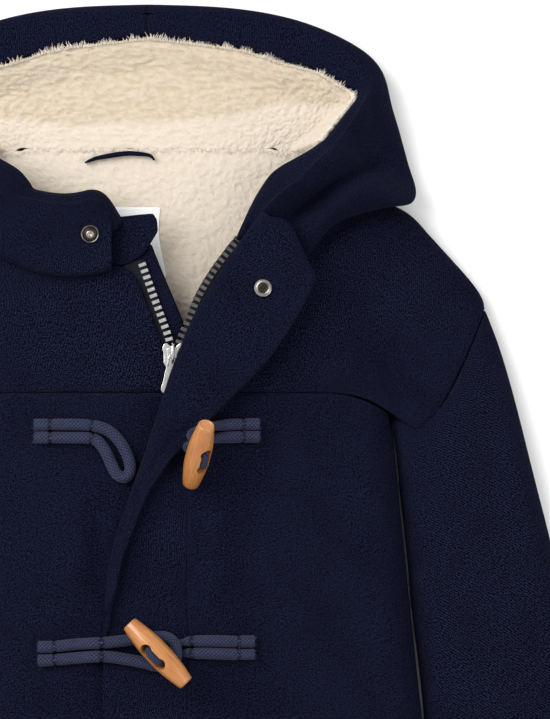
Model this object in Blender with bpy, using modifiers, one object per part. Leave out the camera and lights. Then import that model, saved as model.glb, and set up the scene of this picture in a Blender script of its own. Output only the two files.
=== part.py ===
"""Child's duffle coat in wool, lined with sherpa, laid flat on its back.

The coat lies face up: X runs across it to the wearer's left, Y from the hem up to the
hood, Z up from the surface it lies on.  Every panel is a wall of cloth.  A panel is a
surface worked out from the tables below and given its thickness towards the inside.
Tables are in millimetres, and MM turns them into metres.
"""
import math

import bmesh
import bpy
from mathutils import Matrix, Vector

MM = 0.001

# Driving sizes, in millimetres.
WOOL = 2.5            # outer cloth
SHERPA = 5.0          # lining with its pile
TWO_PLY = 3.4         # the flap, cut double
TAPE = 1.0            # zip tape
SEAM = 0.3            # gap between two pieces at a seam
HEM_Y = -295.0
NECK_BACK_Y = 217.0   # back neck seam
SIDE_ROLL = 14.0      # how far in from the side the cloth turns round
SHOULDER_Z = 7.0      # height of the shoulder and sleeve edges
CORD_DIAMETER = 6.0
TOGGLE_LENGTH = 41.0
TOGGLE_BELLY = 12.4
TOGGLE_END = 8.0
SNAP_DIAMETER = 9.6

RIGHT, LEFT = -1, 1   # the wearer's sides, as signs of X

# Body: the half width and the heights of the front over the ground, from neck to hem.
BODY = (
    # y, half_width, side_height, centre_height
    (225, 112, 17, 26), (160, 118, 18, 33), (99, 120, 20, 35), (64, 125, 24, 35),
    (0, 131, 26, 35), (-61, 138, 26, 34), (-180, 149, 24, 31), (-295, 160, 20, 27),
)
# Heights up the coat at which the back's rows of points lie, from neck to hem.
BACK_ROWS = (205.7, 203, 199.5, 190, 182, 168, 155, 147, 141, 135, 125, 114, 103, 92, 88, 85, 83, 68, 45,
             15, -22, -65, -110, -155, -200, -250, -295)
# Shoulder line from the neck to the tip, in plan.
SHOULDER = (
    # x, y
    (83, 206), (108, 199.5), (131, 189.5), (138.5, 182), (151.5, 167.5),
    (163, 155), (168.5, 147.5), (170.5, 141),
)
# Sleeve: each row is a line across it, bent towards a middle point.
SLEEVE = (
    # inner_x, inner_y, mid_x, mid_y, outer_x, outer_y, height
    (125.0, 82, 140.0, 60, 170.5, 141, 17), (126.2, 66, 146.0, 78, 178.0, 121, 18),
    (128.2, 42, 155.5, 62, 186.0, 93, 19), (131.6, 10, 163.0, 33, 195.0, 57, 20),
    (135.6, -22, 169.5, 0, 204.0, 22, 20), (140.2, -65, 177.0, -42, 214.0, -20, 20),
    (145.6, -120, 186.5, -99, 228.0, -78, 19), (153.0, -178, 198.0, -160, 243.5, -143, 18),
    (162.0, -231, 210.5, -219.5, 259.0, -208, 16),
)
TONGUE = 0.33         # where the yoke's tongue ends, as a share of the armhole from inside
# Lower seam of the yoke, from beside the flap to the tongue.
YOKE_SEAM = (
    # x, y
    (60, 99), (94, 98.6), (104, 97.4), (113, 94.5), (120, 90.3), (127, 84.6), (136.1, 79.5),
)
# Neck and front edge of the right yoke, as seen on its own side (x grows outwards).
RIGHT_NECK = (
    # x, y
    (83, 206), (81, 190), (73.5, 172), (57.5, 162.5), (36, 160), (17.5, 162), (8, 164.5),
)
RIGHT_EDGE = (
    # x, y
    (6.5, 162.5), (2, 149), (-3, 135.5), (-7.5, 124), (-11, 110), (-12.5, 99),
)
LEFT_NECK = ((83, 206), (74, 199), (63, 190.5), (50.5, 181))
LEFT_EDGE = (
    # x, y
    (49.5, 179), (42, 167), (36, 158.5), (30, 147), (25, 134.5), (21.5, 123), (20.5, 99),
)
# Front edges below the yoke, at the zip.
LOWER_EDGE = {RIGHT: -13.0, LEFT: 21.3}
# Teeth lines of the zip, from the top to where both run down side by side.
TEETH = {
    RIGHT: ((-4, 165.5), (1.5, 150), (6.5, 136.5), (10.5, 125), (13.2, 112), (15.2, 96),
            (16.6, 60), (16.8, 0), (16.8, -110), (16.8, -228)),
    LEFT: ((46.5, 176.5), (38, 165.5), (32, 157), (25.5, 145.5), (20.5, 133), (16.2, 122),
           (15.0, 112), (16.4, 96), (17.6, 60), (17.8, 0), (17.8, -110), (17.8, -228)),
}
# Hood, half of it: its rim, its widest edge and its neck seam, from the top to the front.
HOOD = (
    # rim_x, rim_y, rim_z, edge_x, edge_y, seam_x, seam_y
    (0.0, 289.5, 13, 0.0, 294.5, 0.0, 217.5), (26.5, 289.0, 13, 27.0, 293.8, 20.0, 217.1),
    (51.0, 286.8, 13, 51.8, 291.6, 38.0, 215.6), (74.0, 281.8, 14, 76.0, 286.4, 52.0, 214.2),
    (93.8, 273.6, 15, 96.8, 278.0, 60.0, 212.2), (106.6, 265.0, 17, 111.7, 268.7, 66.5, 210.9),
    (112.8, 257.0, 19, 119.2, 258.4, 71.0, 210.1), (111.0, 250.0, 24, 122.4, 245.0, 74.5, 209.3),
    (108.0, 243.5, 28, 126.0, 233.5, 77.5, 208.6), (103.5, 236.5, 32, 129.2, 222.0, 80.0, 208.1),
    (99.0, 230.0, 35, 132.2, 211.0, 82.3, 207.8), (93.0, 221.5, 38, 135.4, 201.0, 84.8, 207.6),
    (85.0, 214.5, 41, 133.0, 193.0, 86.5, 202.5), (76.5, 206.0, 43, 121.0, 191.6, 84.5, 197.0),
    (70.0, 201.0, 44, 107.5, 188.4, 80.6, 190.5), (64.0, 196.0, 44, 94.0, 183.5, 75.0, 180.5),
)
# Front end of the hood's left half, under the turned flap: same columns as HOOD.
HOOD_LEFT_END = (
    (57.5, 189.5, 40, 85.0, 172.5, 66.5, 178.0), (54.5, 184.5, 36.5, 77.0, 163.5, 61.0, 171.5),
)
# Collar end of the hood's right half, a low roll sewn down in front: same columns as HOOD.
COLLAR = (
    (55.5, 194.8, 43, 76.0, 168.0, 66.5, 172.8), (43.0, 192.8, 43, 57.5, 159.3, 54.5, 166.8),
    (34.0, 193.6, 43, 45.0, 157.0, 43.5, 164.8), (28.5, 194.9, 43, 34.0, 156.7, 33.4, 164.6),
    (24.0, 194.4, 42, 26.0, 157.6, 25.6, 165.4), (20.3, 191.2, 41, 21.0, 158.6, 20.8, 166.4),
    (17.2, 185.4, 40, 17.4, 160.0, 17.2, 167.6),
)
# Facing's inner edge and, below it, where the lining reaches the neck: a row for each row
# of HOOD and HOOD_LEFT_END.
FACING = (
    # x, y, z, floor_x, floor_y
    (0.0, 278.4, 13, 0.0, 222), (24.5, 275.6, 13, 18.5, 222), (47.0, 272.4, 13, 34.5, 222),
    (69.0, 265.6, 14, 45.5, 222), (85.8, 261.0, 14.5, 52.5, 222), (96.5, 254.6, 15, 56.6, 222),
    (102.8, 251.0, 15.5, 59.6, 222), (104.8, 247.6, 17, 62.0, 222), (102.6, 243.8, 18, 64.0, 221.8),
    (98.7, 239.0, 20, 65.5, 221.2), (94.2, 233.0, 23, 66.8, 220.6), (88.2, 225.6, 27, 67.5, 219.5),
    (79.4, 219.2, 30, 66.0, 212), (68.0, 213.0, 31, 60.0, 209), (62.0, 208.6, 32, 58.0, 205),
    (57.5, 202.6, 32, 56.0, 201), (52.2, 193.8, 31, 50.0, 192), (45.9, 180.0, 32, 47.0, 186),
)
LINED_ROWS = 11       # the hood's lining ends at this row, under the facing
# Flap: its folded edge, its free edge and where it is sewn on.  base is the height of its
# under side over the coat, free_lift that of its free edge, and turn how far it is turned
# back, in degrees.
FLAP = (
    # fold_x, fold_y, free_x, free_y, root_x, root_y, base, free_lift, turn
    (57.8, 189.3, 85.3, 156.4, 60.8, 182.0, 13.0, 17.0, 180),
    (46.6, 175.2, 78.2, 141.6, 51.6, 172.0, 4.6, 13.5, 180),
    (37.6, 161.4, 70.2, 128.2, 43.4, 160.0, 0.9, 12.5, 180),
    (29.0, 146.8, 60.4, 114.6, 36.0, 146.0, 0.7, 13.0, 180),
    (21.6, 134.4, 50.0, 103.6, 29.6, 133.4, 1.4, 13.4, 180),
    (16.0, 120.0, 40.6, 94.0, 24.8, 119.4, 2.8, 13.8, 180),
    (11.2, 107.6, 31.2, 84.6, 22.6, 107.0, 3.0, 14.2, 180),
    (7.2, 95.0, 22.0, 74.6, 20.9, 94.6, 2.9, 14.0, 180),
    (2.8, 81.2, 12.6, 66.2, 20.6, 81.0, 1.8, 12.8, 180),
    (-1.0, 69.0, 6.4, 57.2, 20.6, 69.0, 0.9, 11.6, 180),
    (-5.4, 57.6, 0.6, 48.6, 20.6, 57.6, 0.7, 11.2, 180),
    (-10.2, 43.0, -4.4, 36.4, 20.6, 43.0, 0.7, 10.9, 180),
    (-14.8, 30.4, -9.0, 24.6, 20.6, 30.4, 0.7, 10.7, 180),
    (-18.4, 16.4, -13.0, 12.6, 20.6, 16.4, 0.7, 10.7, 180),
    (-20.4, 3.0, -15.0, 0.4, 20.6, 3.0, 0.7, 10.7, 180),
    (-21.2, -8.0, -15.6, -8.6, 20.6, -8.0, 0.7, 10.7, 120),
    (-21.6, -18.0, -16.8, -18.2, 20.6, -18.0, 0.7, 10.7, 55),
    (-21.8, -28.0, -16.8, -28.0, 20.6, -28.0, 0.7, 10.7, 0),
    (-21.8, -62.0, -16.8, -62.0, 20.6, -62.0, 0.7, 10.7, 0),
    (-21.8, -110.0, -16.8, -110.0, 20.6, -110.0, 0.7, 10.7, 0),
    (-21.8, -160.0, -16.8, -160.0, 20.6, -160.0, 0.7, 10.7, 0),
    (-21.8, -210.0, -16.8, -210.0, 20.6, -210.0, 0.7, 10.7, 0),
    (-21.8, -255.0, -16.8, -255.0, 20.6, -255.0, 0.7, 10.7, 0),
    (-21.8, -294.0, -16.8, -294.0, 20.6, -294.0, 0.7, 10.7, 0),
)
FOLD_RADIUS = 5.0     # of the flap's fold, outside
FOLD_EASE = 3.0       # length of cloth that would fold, where the flap is flat
FLAP_BOW = 7.7        # how far the flap's top edge bows outwards
# Panel behind the zip: its inner edge beside the left teeth and its other edge.
GUARD = (
    # inner_x, outer_x, y
    (2.0, -20.0, 173.5), (6.5, -18.0, 162.0), (13.0, -14.0, 146.5), (18.5, -8.0, 133.0),
    (22.5, -3.0, 118.0), (24.5, 0.0, 96.0), (26.0, 1.0, 40.0), (26.0, 1.0, -228.0),
)
CHIN_TAB_LOW = 29.0   # height of its underside, over the end of the tape
CHIN_TAB = (
    # x, y round the small tab over the top of that panel
    (-16.0, 185.3), (-3.5, 188), (3, 188.5), (5, 185.5), (5.5, 179.5), (2.5, 174.5), (-1.2, 169.0),
    (-4.2, 166.6), (-9.0, 167.0), (-15.4, 172.0),
)
LABEL = (
    # y, right_x
    (192.0, 6.5), (185.0, 5.6), (177.5, 5.5), (167.0, 7.2), (156.0, 9.5),
)
LABEL_LEFT_X = -19.5
HANGER_LOOP = (
    # x, y
    (-31.5, 214.5), (-28.0, 216.0), (-24.5, 217.0), (-12, 219), (-4, 218.8), (1, 218), (3, 216),
)
LINING_TOP_Z = 9.5    # floor of lining inside the neck
# Left loop of the first row, which hangs open.
OPEN_LOOP = (
    # x, y, height over the front
    (-56.0, 82.6, 3.3), (-40, 82.8, 3.3), (-28, 82.3, 3.3), (-19.5, 79.8, 3.3), (-13.2, 73.8, 3.4),
    (-9.4, 66.4, 3.5), (-8.2, 60.4, 3.4), (-10.4, 56.6, 3.3), (-14.6, 57.6, 3.3), (-17.6, 62.6, 3.3),
    (-21.4, 70.6, 3.3), (-27, 75.6, 3.3), (-40, 76.2, 3.3), (-56.0, 76.3, 3.3),
)
# Left loop of a fastened row, round the cord under its toggle; y from the row's place.
SHUT_LOOP = (
    # x, y, height, radius
    (-54.0, -28.4, 3.3, 3.0),
    (-46.5, -28.2, 3.3, 3.0),
    (-35.0, -27.0, 3.3, 3.0),
    (-25.0, -26.2, 4.3, 3.0),
    (-19.0, -25.8, 3.8, 3.0), (-9.8, -24.8, 3.5, 3.0), (-2.0, -23.4, 4.4, 2.8), (4.0, -22.8, 5.8, 2.7),
    (9.5, -22.9, 6.9, 2.7), (13.4, -25.2, 7.1, 2.7), (15.0, -29.5, 7.1, 2.7), (14.4, -34.6, 6.6, 2.7),
    (10.5, -37.6, 5.4, 2.7), (5.0, -37.8, 4.4, 2.8), (-2.0, -35.9, 3.6, 3.0), (-12.0, -34.0, 3.5, 3.0),
    (-19.0, -33.0, 3.8, 3.0),
    (-25.0, -32.9, 4.3, 3.0),
    (-35.0, -33.8, 3.3, 3.0),
    (-46.5, -34.8, 3.3, 3.0),
    (-54.0, -35.2, 3.3, 3.0),
)
# Right cord of a fastened row: its two strands, from the base to under the toggle.
SHUT_STRANDS = (
    (   # x, y, height, radius
        (53.5, -25.6, 3.3, 3.0), (45.5, -25.6, 3.3, 3.0), (33.0, -25.2, 3.3, 3.0),
        (23.0, -25.2, 3.1, 2.8), (17.5, -26.0, 2.1, 1.8), (12.0, -26.6, 2.1, 1.8),
        (7.5, -27.6, 3.2, 1.8), (5.2, -28.2, 5.6, 1.8), (5.3, -27.3, 8.0, 1.8),
    ),
    (
        (53.5, -32.0, 3.3, 3.0), (45.5, -32.0, 3.3, 3.0), (33.0, -31.4, 3.3, 3.0),
        (23.0, -31.2, 3.1, 2.8), (17.5, -31.1, 2.1, 1.8), (12.5, -31.2, 2.1, 1.8),
        (9.8, -31.6, 3.4, 1.8), (9.3, -31.9, 5.8, 1.8), (10.2, -31.8, 8.2, 1.8),
    ),
)
OPEN_STRANDS = (
    (   # x, y, height, radius
        (56.0, 82.9, 3.3, 3.0), (49.0, 82.9, 3.3, 3.0), (42.0, 82.8, 3.3, 3.0),
        (37.5, 82.4, 3.6, 2.8), (34.0, 82.2, 6.8, 2.4), (31.0, 81.8, 11.6, 2.1),
        (25.0, 80.2, 13.0, 1.9), (22.2, 78.6, 14.4, 1.8), (21.8, 77.0, 15.8, 1.8),
    ),
    (
        (56.0, 76.6, 3.3, 3.0), (49.0, 76.6, 3.3, 3.0), (42.0, 76.5, 3.3, 3.0),
        (36.5, 76.2, 3.4, 2.8), (31.0, 75.4, 4.8, 2.3), (27.8, 74.8, 8.6, 2.0),
        (24.8, 74.2, 12.0, 1.9), (21.0, 73.0, 12.6, 1.8), (19.9, 71.4, 11.6, 1.8),
    ),
)
# Toggles: both ends of the axis and the way the slot faces.  z is a height over the coat.
TOGGLES = (
    # row_y, low_x, low_y, low_z, high_x, high_y, high_z, slot_x, slot_y, slot_z
    (0.0, 22.0, 53.5, 5.0, 30.0, 82.5, 31.0, 0.52, -0.5, 0.6),
    (0.0, -7.5, -17.0, 14.2, 19.0, -44.5, 17.4, -0.38, -0.37, 0.85),
    (-110.0, -9.5, -20.0, 14.2, 21.5, -41.5, 17.4, -0.33, -0.47, 0.85),
)
HOLE_HALF = 4.9       # half the distance between a toggle's two holes
HOLE_RADIUS = 3.1
BORE_REACH = 9.0      # how far a bore's cutter reaches each way from the toggle's axis
GROOVE_OUT = 5.6      # how far the groove's middle is from the toggle's axis
GROOVE_RADIUS = 2.5
STRAND_HALF = 4.2     # half the distance between the cord's two strands in the holes
CORD_IN_SLOT = 1.8    # radius of the cord there
SLIDER_SPOT = (13.2, 119.0)
SLIDER = (
    # x, y from the slider's middle, down one side
    (0, 2.2), (1.5, 3.0), (3.6, 4.4), (5.2, 3.2), (5.0, -1), (3.6, -7.5),
)
PULL_TOP = (13.7, 117.0)
PULL_END = (9.4, 98.0)
PULL_ACROSS = (-2.75, -1.8, 1.8, 2.75)
PULL_ALONG = (0.0, 1.3, 5.6, 19.2)
SNAP_STUD_AT = (-28.0, 178.0)
SNAP_SOCKET_AT = (60.0, 153.5)
SNAP_LIFT = 0.75      # clears the slight hollow of the cloth under a flat disc


# ---------------------------------------------------------------- small mathematics

def mix(a, b, share):
    return a + (b - a) * share


def smooth(value):
    value = min(1.0, max(0.0, value))
    return value * value * (3.0 - 2.0 * value)


def spline(rows, place):
    """Columns of a table at a row number that need not be whole (Catmull-Rom)."""
    last = len(rows) - 1
    place = min(float(last), max(0.0, place))
    start = min(last - 1, int(place))
    share = place - start
    before, this, after, beyond = (rows[min(last, max(0, start + k))] for k in (-1, 0, 1, 2))
    columns = []
    for p, q, r, s in zip(before, this, after, beyond):
        columns.append(0.5 * (2 * q + (r - p) * share + (2 * p - 5 * q + 4 * r - s) * share ** 2
                              + (3 * q - p - 3 * r + s) * share ** 3))
    return columns


def along(rows, share):
    """Point at a share of a polyline's length, on the smooth curve through its rows."""
    steps = [math.dist(a[:2], b[:2]) for a, b in zip(rows, rows[1:])]
    target = share * sum(steps)
    for number, step in enumerate(steps):
        if target <= step or number == len(steps) - 1:
            return spline(rows, number + min(1.0, target / step))
        target -= step


def by_height(rows, y):
    """Columns of a table whose first column falls, read at that column's value y."""
    for number, (upper, lower) in enumerate(zip(rows, rows[1:])):
        if y >= lower[0]:
            share = min(1.0, max(0.0, (upper[0] - y) / (upper[0] - lower[0])))
            return [mix(a, b, smooth(share) * 0.4 + share * 0.6) for a, b in zip(upper, lower)][1:]
    return list(rows[-1][1:])


def quarter(share):
    """A quarter turn: how far in, and how far up, for a share of the turn."""
    return 1.0 - math.cos(share * math.pi / 2), math.sin(share * math.pi / 2)


# ---------------------------------------------------------------- making solids

def material(name, colour, roughness, metallic=0.0):
    made = bpy.data.materials.new(name)
    made.use_nodes = True
    shader = made.node_tree.nodes["Principled BSDF"]
    shader.inputs["Base Color"].default_value = (*colour, 1.0)
    shader.inputs["Roughness"].default_value = roughness
    shader.inputs["Metallic"].default_value = metallic
    made.diffuse_color = (*colour, 1.0)
    return made


def place(name, mesh, finish, collection):
    mesh.materials.append(finish)
    item = bpy.data.objects.new(name, mesh)
    collection.objects.link(item)
    return item


def normal_at(surface, u, v, wrap):
    step = 1e-3
    low_u, high_u = (u - step, u + step) if wrap else (max(0.0, u - step), min(1.0, u + step))
    low_v, high_v = max(0.0, v - step), min(1.0, v + step)
    du = Vector(surface(high_u % 1.0 if wrap else high_u, v))
    du -= Vector(surface(low_u % 1.0 if wrap else low_u, v))
    dv = Vector(surface(u, high_v)) - Vector(surface(u, low_v))
    return du.cross(dv).normalized()


def wall(name, surface, across, down, thickness, finish, collection, wrap=False, inside=1.0):
    """A wall of cloth: a grid laid on surface(u, v), in mm, and thickened along its normals."""
    bm = bmesh.new()
    bmesh.ops.create_grid(bm, x_segments=across, y_segments=down, size=0.5)
    inward = {}
    for vertex in bm.verts:
        u, v = vertex.co.x + 0.5, vertex.co.y + 0.5
        vertex.co = Vector(surface(u % 1.0 if wrap else u, v)) * MM
        inward[tuple(vertex.co)] = normal_at(surface, u, v, wrap) * (-inside * thickness * MM)
    if wrap:
        bmesh.ops.remove_doubles(bm, verts=bm.verts, dist=1e-6)
    lining = bmesh.ops.extrude_face_region(bm, geom=bm.faces[:], use_keep_orig=True)
    for vertex in (item for item in lining["geom"] if isinstance(item, bmesh.types.BMVert)):
        vertex.co += inward[tuple(vertex.co)]
    bmesh.ops.recalc_face_normals(bm, faces=bm.faces)
    mesh = bpy.data.meshes.new(name)
    bm.to_mesh(mesh)
    bm.free()
    mesh.shade_smooth()
    mesh.set_sharp_from_angle(angle=math.radians(50))
    return place(name, mesh, finish, collection)


def tube(name, rows, finish, collection):
    """A cord with filled ends, through rows of (x, y, z, radius) in mm."""
    curve = bpy.data.curves.new(name, "CURVE")
    curve.dimensions = "3D"
    curve.bevel_depth = MM
    curve.bevel_resolution = 2
    curve.use_fill_caps = True
    line = curve.splines.new("POLY")
    line.points.add(len(rows) - 1)
    for point, (x, y, z, radius) in zip(line.points, rows):
        point.co = (x * MM, y * MM, z * MM, 1.0)
        point.radius = radius
    item = bpy.data.objects.new(name, curve)
    item.data.materials.append(finish)
    collection.objects.link(item)
    return item


def solid_tube(name, rows, finish, collection):
    """The same cord as a closed mesh, to be joined to or cut from another piece."""
    item = tube(name, rows, finish, collection)
    mesh = bpy.data.meshes.new_from_object(item)
    bpy.data.objects.remove(item, do_unlink=True)
    bm = bmesh.new()
    bm.from_mesh(mesh)
    bmesh.ops.remove_doubles(bm, verts=bm.verts, dist=1e-6)
    bm.to_mesh(mesh)
    bm.free()
    made = bpy.data.objects.new(name, mesh)
    collection.objects.link(made)
    made.hide_render = True
    made.display_type = "WIRE"
    return made


def combine(item, other, operation):
    step = item.modifiers.new(operation.lower(), "BOOLEAN")
    step.operation = operation
    step.solver = "EXACT"
    step.object = other


def plate(name, cells, low, high, finish, collection):
    """A flat piece from cells of (x, y) points, between two heights in mm.

    low and high are functions of x and y."""
    bm = bmesh.new()
    spots = {}
    for cell in cells:
        for spot in cell:
            if spot not in spots:
                x, y = spot
                spots[spot] = bm.verts.new((x * MM, y * MM, low(x, y) * MM))
        bm.faces.new([spots[spot] for spot in cell])
    rise = {tuple(vertex.co): (high(*spot) - low(*spot)) * MM for spot, vertex in spots.items()}
    raised = bmesh.ops.extrude_face_region(bm, geom=bm.faces[:], use_keep_orig=True)
    for vertex in (item for item in raised["geom"] if isinstance(item, bmesh.types.BMVert)):
        vertex.co.z += rise[tuple(vertex.co)]
    bmesh.ops.recalc_face_normals(bm, faces=bm.faces)
    mesh = bpy.data.meshes.new(name)
    bm.to_mesh(mesh)
    bm.free()
    mesh.shade_smooth()
    mesh.set_sharp_from_angle(angle=math.radians(35))
    return place(name, mesh, finish, collection)


def turned(name, profile, sides, finish, collection):
    """A turned piece on Z: profile rows (radius, z) in mm run up its outer side."""
    mesh = bpy.data.meshes.new(name)
    bm = bmesh.new()
    spots = [bm.verts.new((radius * MM, 0.0, z * MM)) for radius, z in reversed(profile)]
    for first, second in zip(spots, spots[1:]):
        bm.edges.new((first, second))
    bm.to_mesh(mesh)
    bm.free()
    item = place(name, mesh, finish, collection)
    screw = item.modifiers.new("turn", "SCREW")
    screw.axis = "Z"
    screw.steps = screw.render_steps = sides
    screw.use_merge_vertices = True
    screw.merge_threshold = 0.00001
    screw.use_smooth_shade = True
    return item


# ---------------------------------------------------------------- the coat's form

def body_top(x, y):
    """Height of the coat's front over the ground, away from its rolled edges."""
    half_width, side, centre = by_height(BODY, y)
    return mix(side, centre, max(0.0, 1.0 - (abs(x) / half_width) ** 2.2))


def half_width(y):
    return by_height(BODY, y)[0]


def side_middle(y):
    """Height at which the front and the back meet, at the body's side."""
    return by_height(BODY, y)[1] * 0.52


def left_step(x, y):
    """The left front lies over the zip and the right front's edge, so it starts higher."""
    return 4.6 * (1.0 - smooth((x - 26.0) / 30.0)) * smooth((115.0 - y) / 40.0)


def front_panel(side):
    """Front below the yoke: u from the zip to the side, v from the yoke's seam to the hem."""
    roll_share = 0.24

    def surface(u, v):
        y_side = mix(90.0, HEM_Y, v)
        inner = LOWER_EDGE[side]
        outer = half_width(y_side)
        flat_end = outer - SIDE_ROLL
        if u < 1.0 - roll_share:
            share = u / (1.0 - roll_share)
            x, rise = mix(inner, flat_end, share), 1.0
        else:
            into, up = quarter((1.0 - u) / roll_share)
            x, rise = outer - SIDE_ROLL * into, up
        y = mix(front_top_y(x), HEM_Y, v)
        top = body_top(x, y) + (left_step(x, y) if side == LEFT else 0.0)
        middle = side_middle(y) + SEAM / 2
        return side * x, y, middle + (top - middle) * rise

    return surface


def front_top_y(x):
    """The yoke's lower seam at x, less the seam's gap, which grows where the seam is curved."""
    return spline_y(YOKE_SEAM, x) - SEAM - 0.9 * smooth((x - 95.0) / 15.0)


def spline_y(rows, x):
    """y of a table of (x, y) rows whose x grows, at x."""
    if x <= rows[0][0]:
        return rows[0][1]
    for first, second in zip(rows, rows[1:]):
        if x <= second[0]:
            share = (x - first[0]) / (second[0] - first[0])
            return mix(first[1], second[1], share)
    return rows[-1][1]


def sleeve_line(station, share):
    """Plan point across the sleeve at a row of SLEEVE, and its height there."""
    inner_x, inner_y, mid_x, mid_y, outer_x, outer_y, height = spline(SLEEVE, station)
    a, b, c = (1 - share) ** 2, 2 * share * (1 - share), share ** 2
    return a * inner_x + b * mid_x + c * outer_x, a * inner_y + b * mid_y + c * outer_y, height


def sleeve_rise(share):
    """How much of the sleeve's height is reached at a share of its width."""
    depth = min(share, 1.0 - share) / 0.17
    return math.sqrt(max(0.0, 1.0 - (1.0 - min(1.0, depth)) ** 2))


def sleeve(side):
    """Sleeve tube: u round it, from its inner edge over the top; v from armhole to cuff."""

    def surface(u, v):
        over = u < 0.5
        turn = u * 2 if over else (1.0 - u) * 2
        if turn < 0.25:
            share = 0.17 * quarter(turn / 0.25)[0]
        elif turn > 0.75:
            share = 1.0 - 0.17 * quarter((1.0 - turn) / 0.25)[0]
        else:
            share = 0.17 + 0.66 * (turn - 0.25) / 0.5
        x, y, height = sleeve_line(v * (len(SLEEVE) - 1), share)
        rise = sleeve_rise(share)
        if over:
            z = SHOULDER_Z + (height - SHOULDER_Z) * rise
        else:
            z = SHOULDER_Z * (1.0 - rise)
        return side * x, y, z

    return surface


def yoke(side):
    """Yoke: u from the neck and front edge to the armhole, v from the shoulder down."""
    neck, edge = (RIGHT_NECK, RIGHT_EDGE) if side == RIGHT else (LEFT_NECK, LEFT_EDGE)
    neck_share = 7 / 12 if side == RIGHT else 4 / 12
    roll = 0.3

    def inner(v):
        if v <= neck_share:
            return along(neck, v / neck_share)
        return along(edge, (v - neck_share) / (1.0 - neck_share))

    def outer(v):
        share = 1.0 - (1.0 - TONGUE) * v
        x, y, _ = sleeve_line(0.0, share)
        return x - 0.5, y + 0.15 + 0.95 * (1.0 - share)

    def lower(u):
        start = edge[-1][0]
        x = mix(start, YOKE_SEAM[-1][0], u)
        return x, spline_y(YOKE_SEAM, x)

    def surface(u, v):
        if v < roll:
            into, rise = quarter(v / roll)
            down = 0.16 * into
        else:
            down, rise = 0.16 + 0.84 * (v - roll) / (1.0 - roll), 1.0
        top, bottom, start, end = along(SHOULDER, u), lower(u), inner(down), outer(down)
        corners = along(SHOULDER, 0.0), along(SHOULDER, 1.0), lower(0.0), lower(1.0)
        spot = []
        for axis in (0, 1):
            ruled = mix(top[axis], bottom[axis], down) + mix(start[axis], end[axis], u)
            twice = mix(mix(corners[0][axis], corners[1][axis], u),
                        mix(corners[2][axis], corners[3][axis], u), down)
            spot.append(ruled - twice)
        x, y = spot
        height = SLEEVE[0][-1]
        arm_share = 1.0 - (1.0 - TONGUE) * down
        shoulder_mix = smooth((u - 0.62) / 0.38)
        top_z = mix(body_top(x, y), height, shoulder_mix)
        rise = mix(rise, sleeve_rise(arm_share), shoulder_mix)
        low = SHOULDER_Z + SEAM / 2
        z = low + (top_z - low) * rise
        return side * x, y, z

    return surface


def back(u, v):
    """Back: u from side to side, v from the neck to the hem; its outer face lies down."""
    across = 2.0 * u - 1.0
    row = v * (len(BACK_ROWS) - 1)
    first = min(len(BACK_ROWS) - 2, int(row + 1e-9))
    y_side = mix(BACK_ROWS[first], BACK_ROWS[first + 1], row - first)
    outer = back_reach(y_side)
    roll = 0.375
    reach = abs(across)
    if reach > 1.0 - roll:
        into, up = quarter((1.0 - reach) / roll)
        x, rise = outer - SIDE_ROLL * into, 1.0 - up
    else:
        x, rise = (outer - SIDE_ROLL) * reach / (1.0 - roll), 0.0
    neck = (NECK_BACK_Y - 206.0) * max(0.0, 1.0 - (x / 84.0) ** 2)
    y = y_side + neck * max(0.0, 1.0 - v / 0.3)
    return math.copysign(x, across), y, back_edge(y_side) * rise


def back_reach(y):
    """Half width of the back at y: body side, armhole or shoulder."""
    if y <= 83.0:
        return half_width(y)
    best = half_width(y)
    for number in range(40, 101):
        x, arm_y, _ = sleeve_line(0.0, number / 100)
        if arm_y <= y:
            best = x - 1.4
    if y < 140.5:
        return mix(half_width(83.0), best, min(1.0, (y - 83.0) / 9.0) ** 0.45)
    for first, second in zip(SHOULDER, SHOULDER[1:]):
        if second[1] <= y <= first[1]:
            return mix(second[0], first[0], (y - second[1]) / (first[1] - second[1]))
    return SHOULDER[-1][0] if y < 150.0 else SHOULDER[0][0]


def back_edge(y):
    """Height of the back's edge: it curls up at the sides and shoulders, not at the armhole."""
    if y <= 83.0:
        return side_middle(y) - SEAM / 2
    if y <= 92.0:
        return (side_middle(83.0) - SEAM / 2) * ((92.0 - y) / 9.0) ** 2
    corner = smooth((206.5 - y) / 4.0)
    return (SHOULDER_Z - SEAM / 2) * min(1.0, max(0.0, (y - 135.0) / 6.0)) * corner


def toward(start, end, distance):
    """Plan point at a distance from start on the way to end."""
    length = math.dist(start, end)
    return (start[0] + (end[0] - start[0]) * distance / length,
            start[1] + (end[1] - start[1]) * distance / length)


def mix_point(first, second, share):
    return tuple(mix(a, b, share) for a, b in zip(first, second))


def hood_low(x, y, over):
    """Height of the hood's under layer: on the ground, or over the shoulder."""
    return max(body_top(x, y) + 0.8, 19.0) * over


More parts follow.
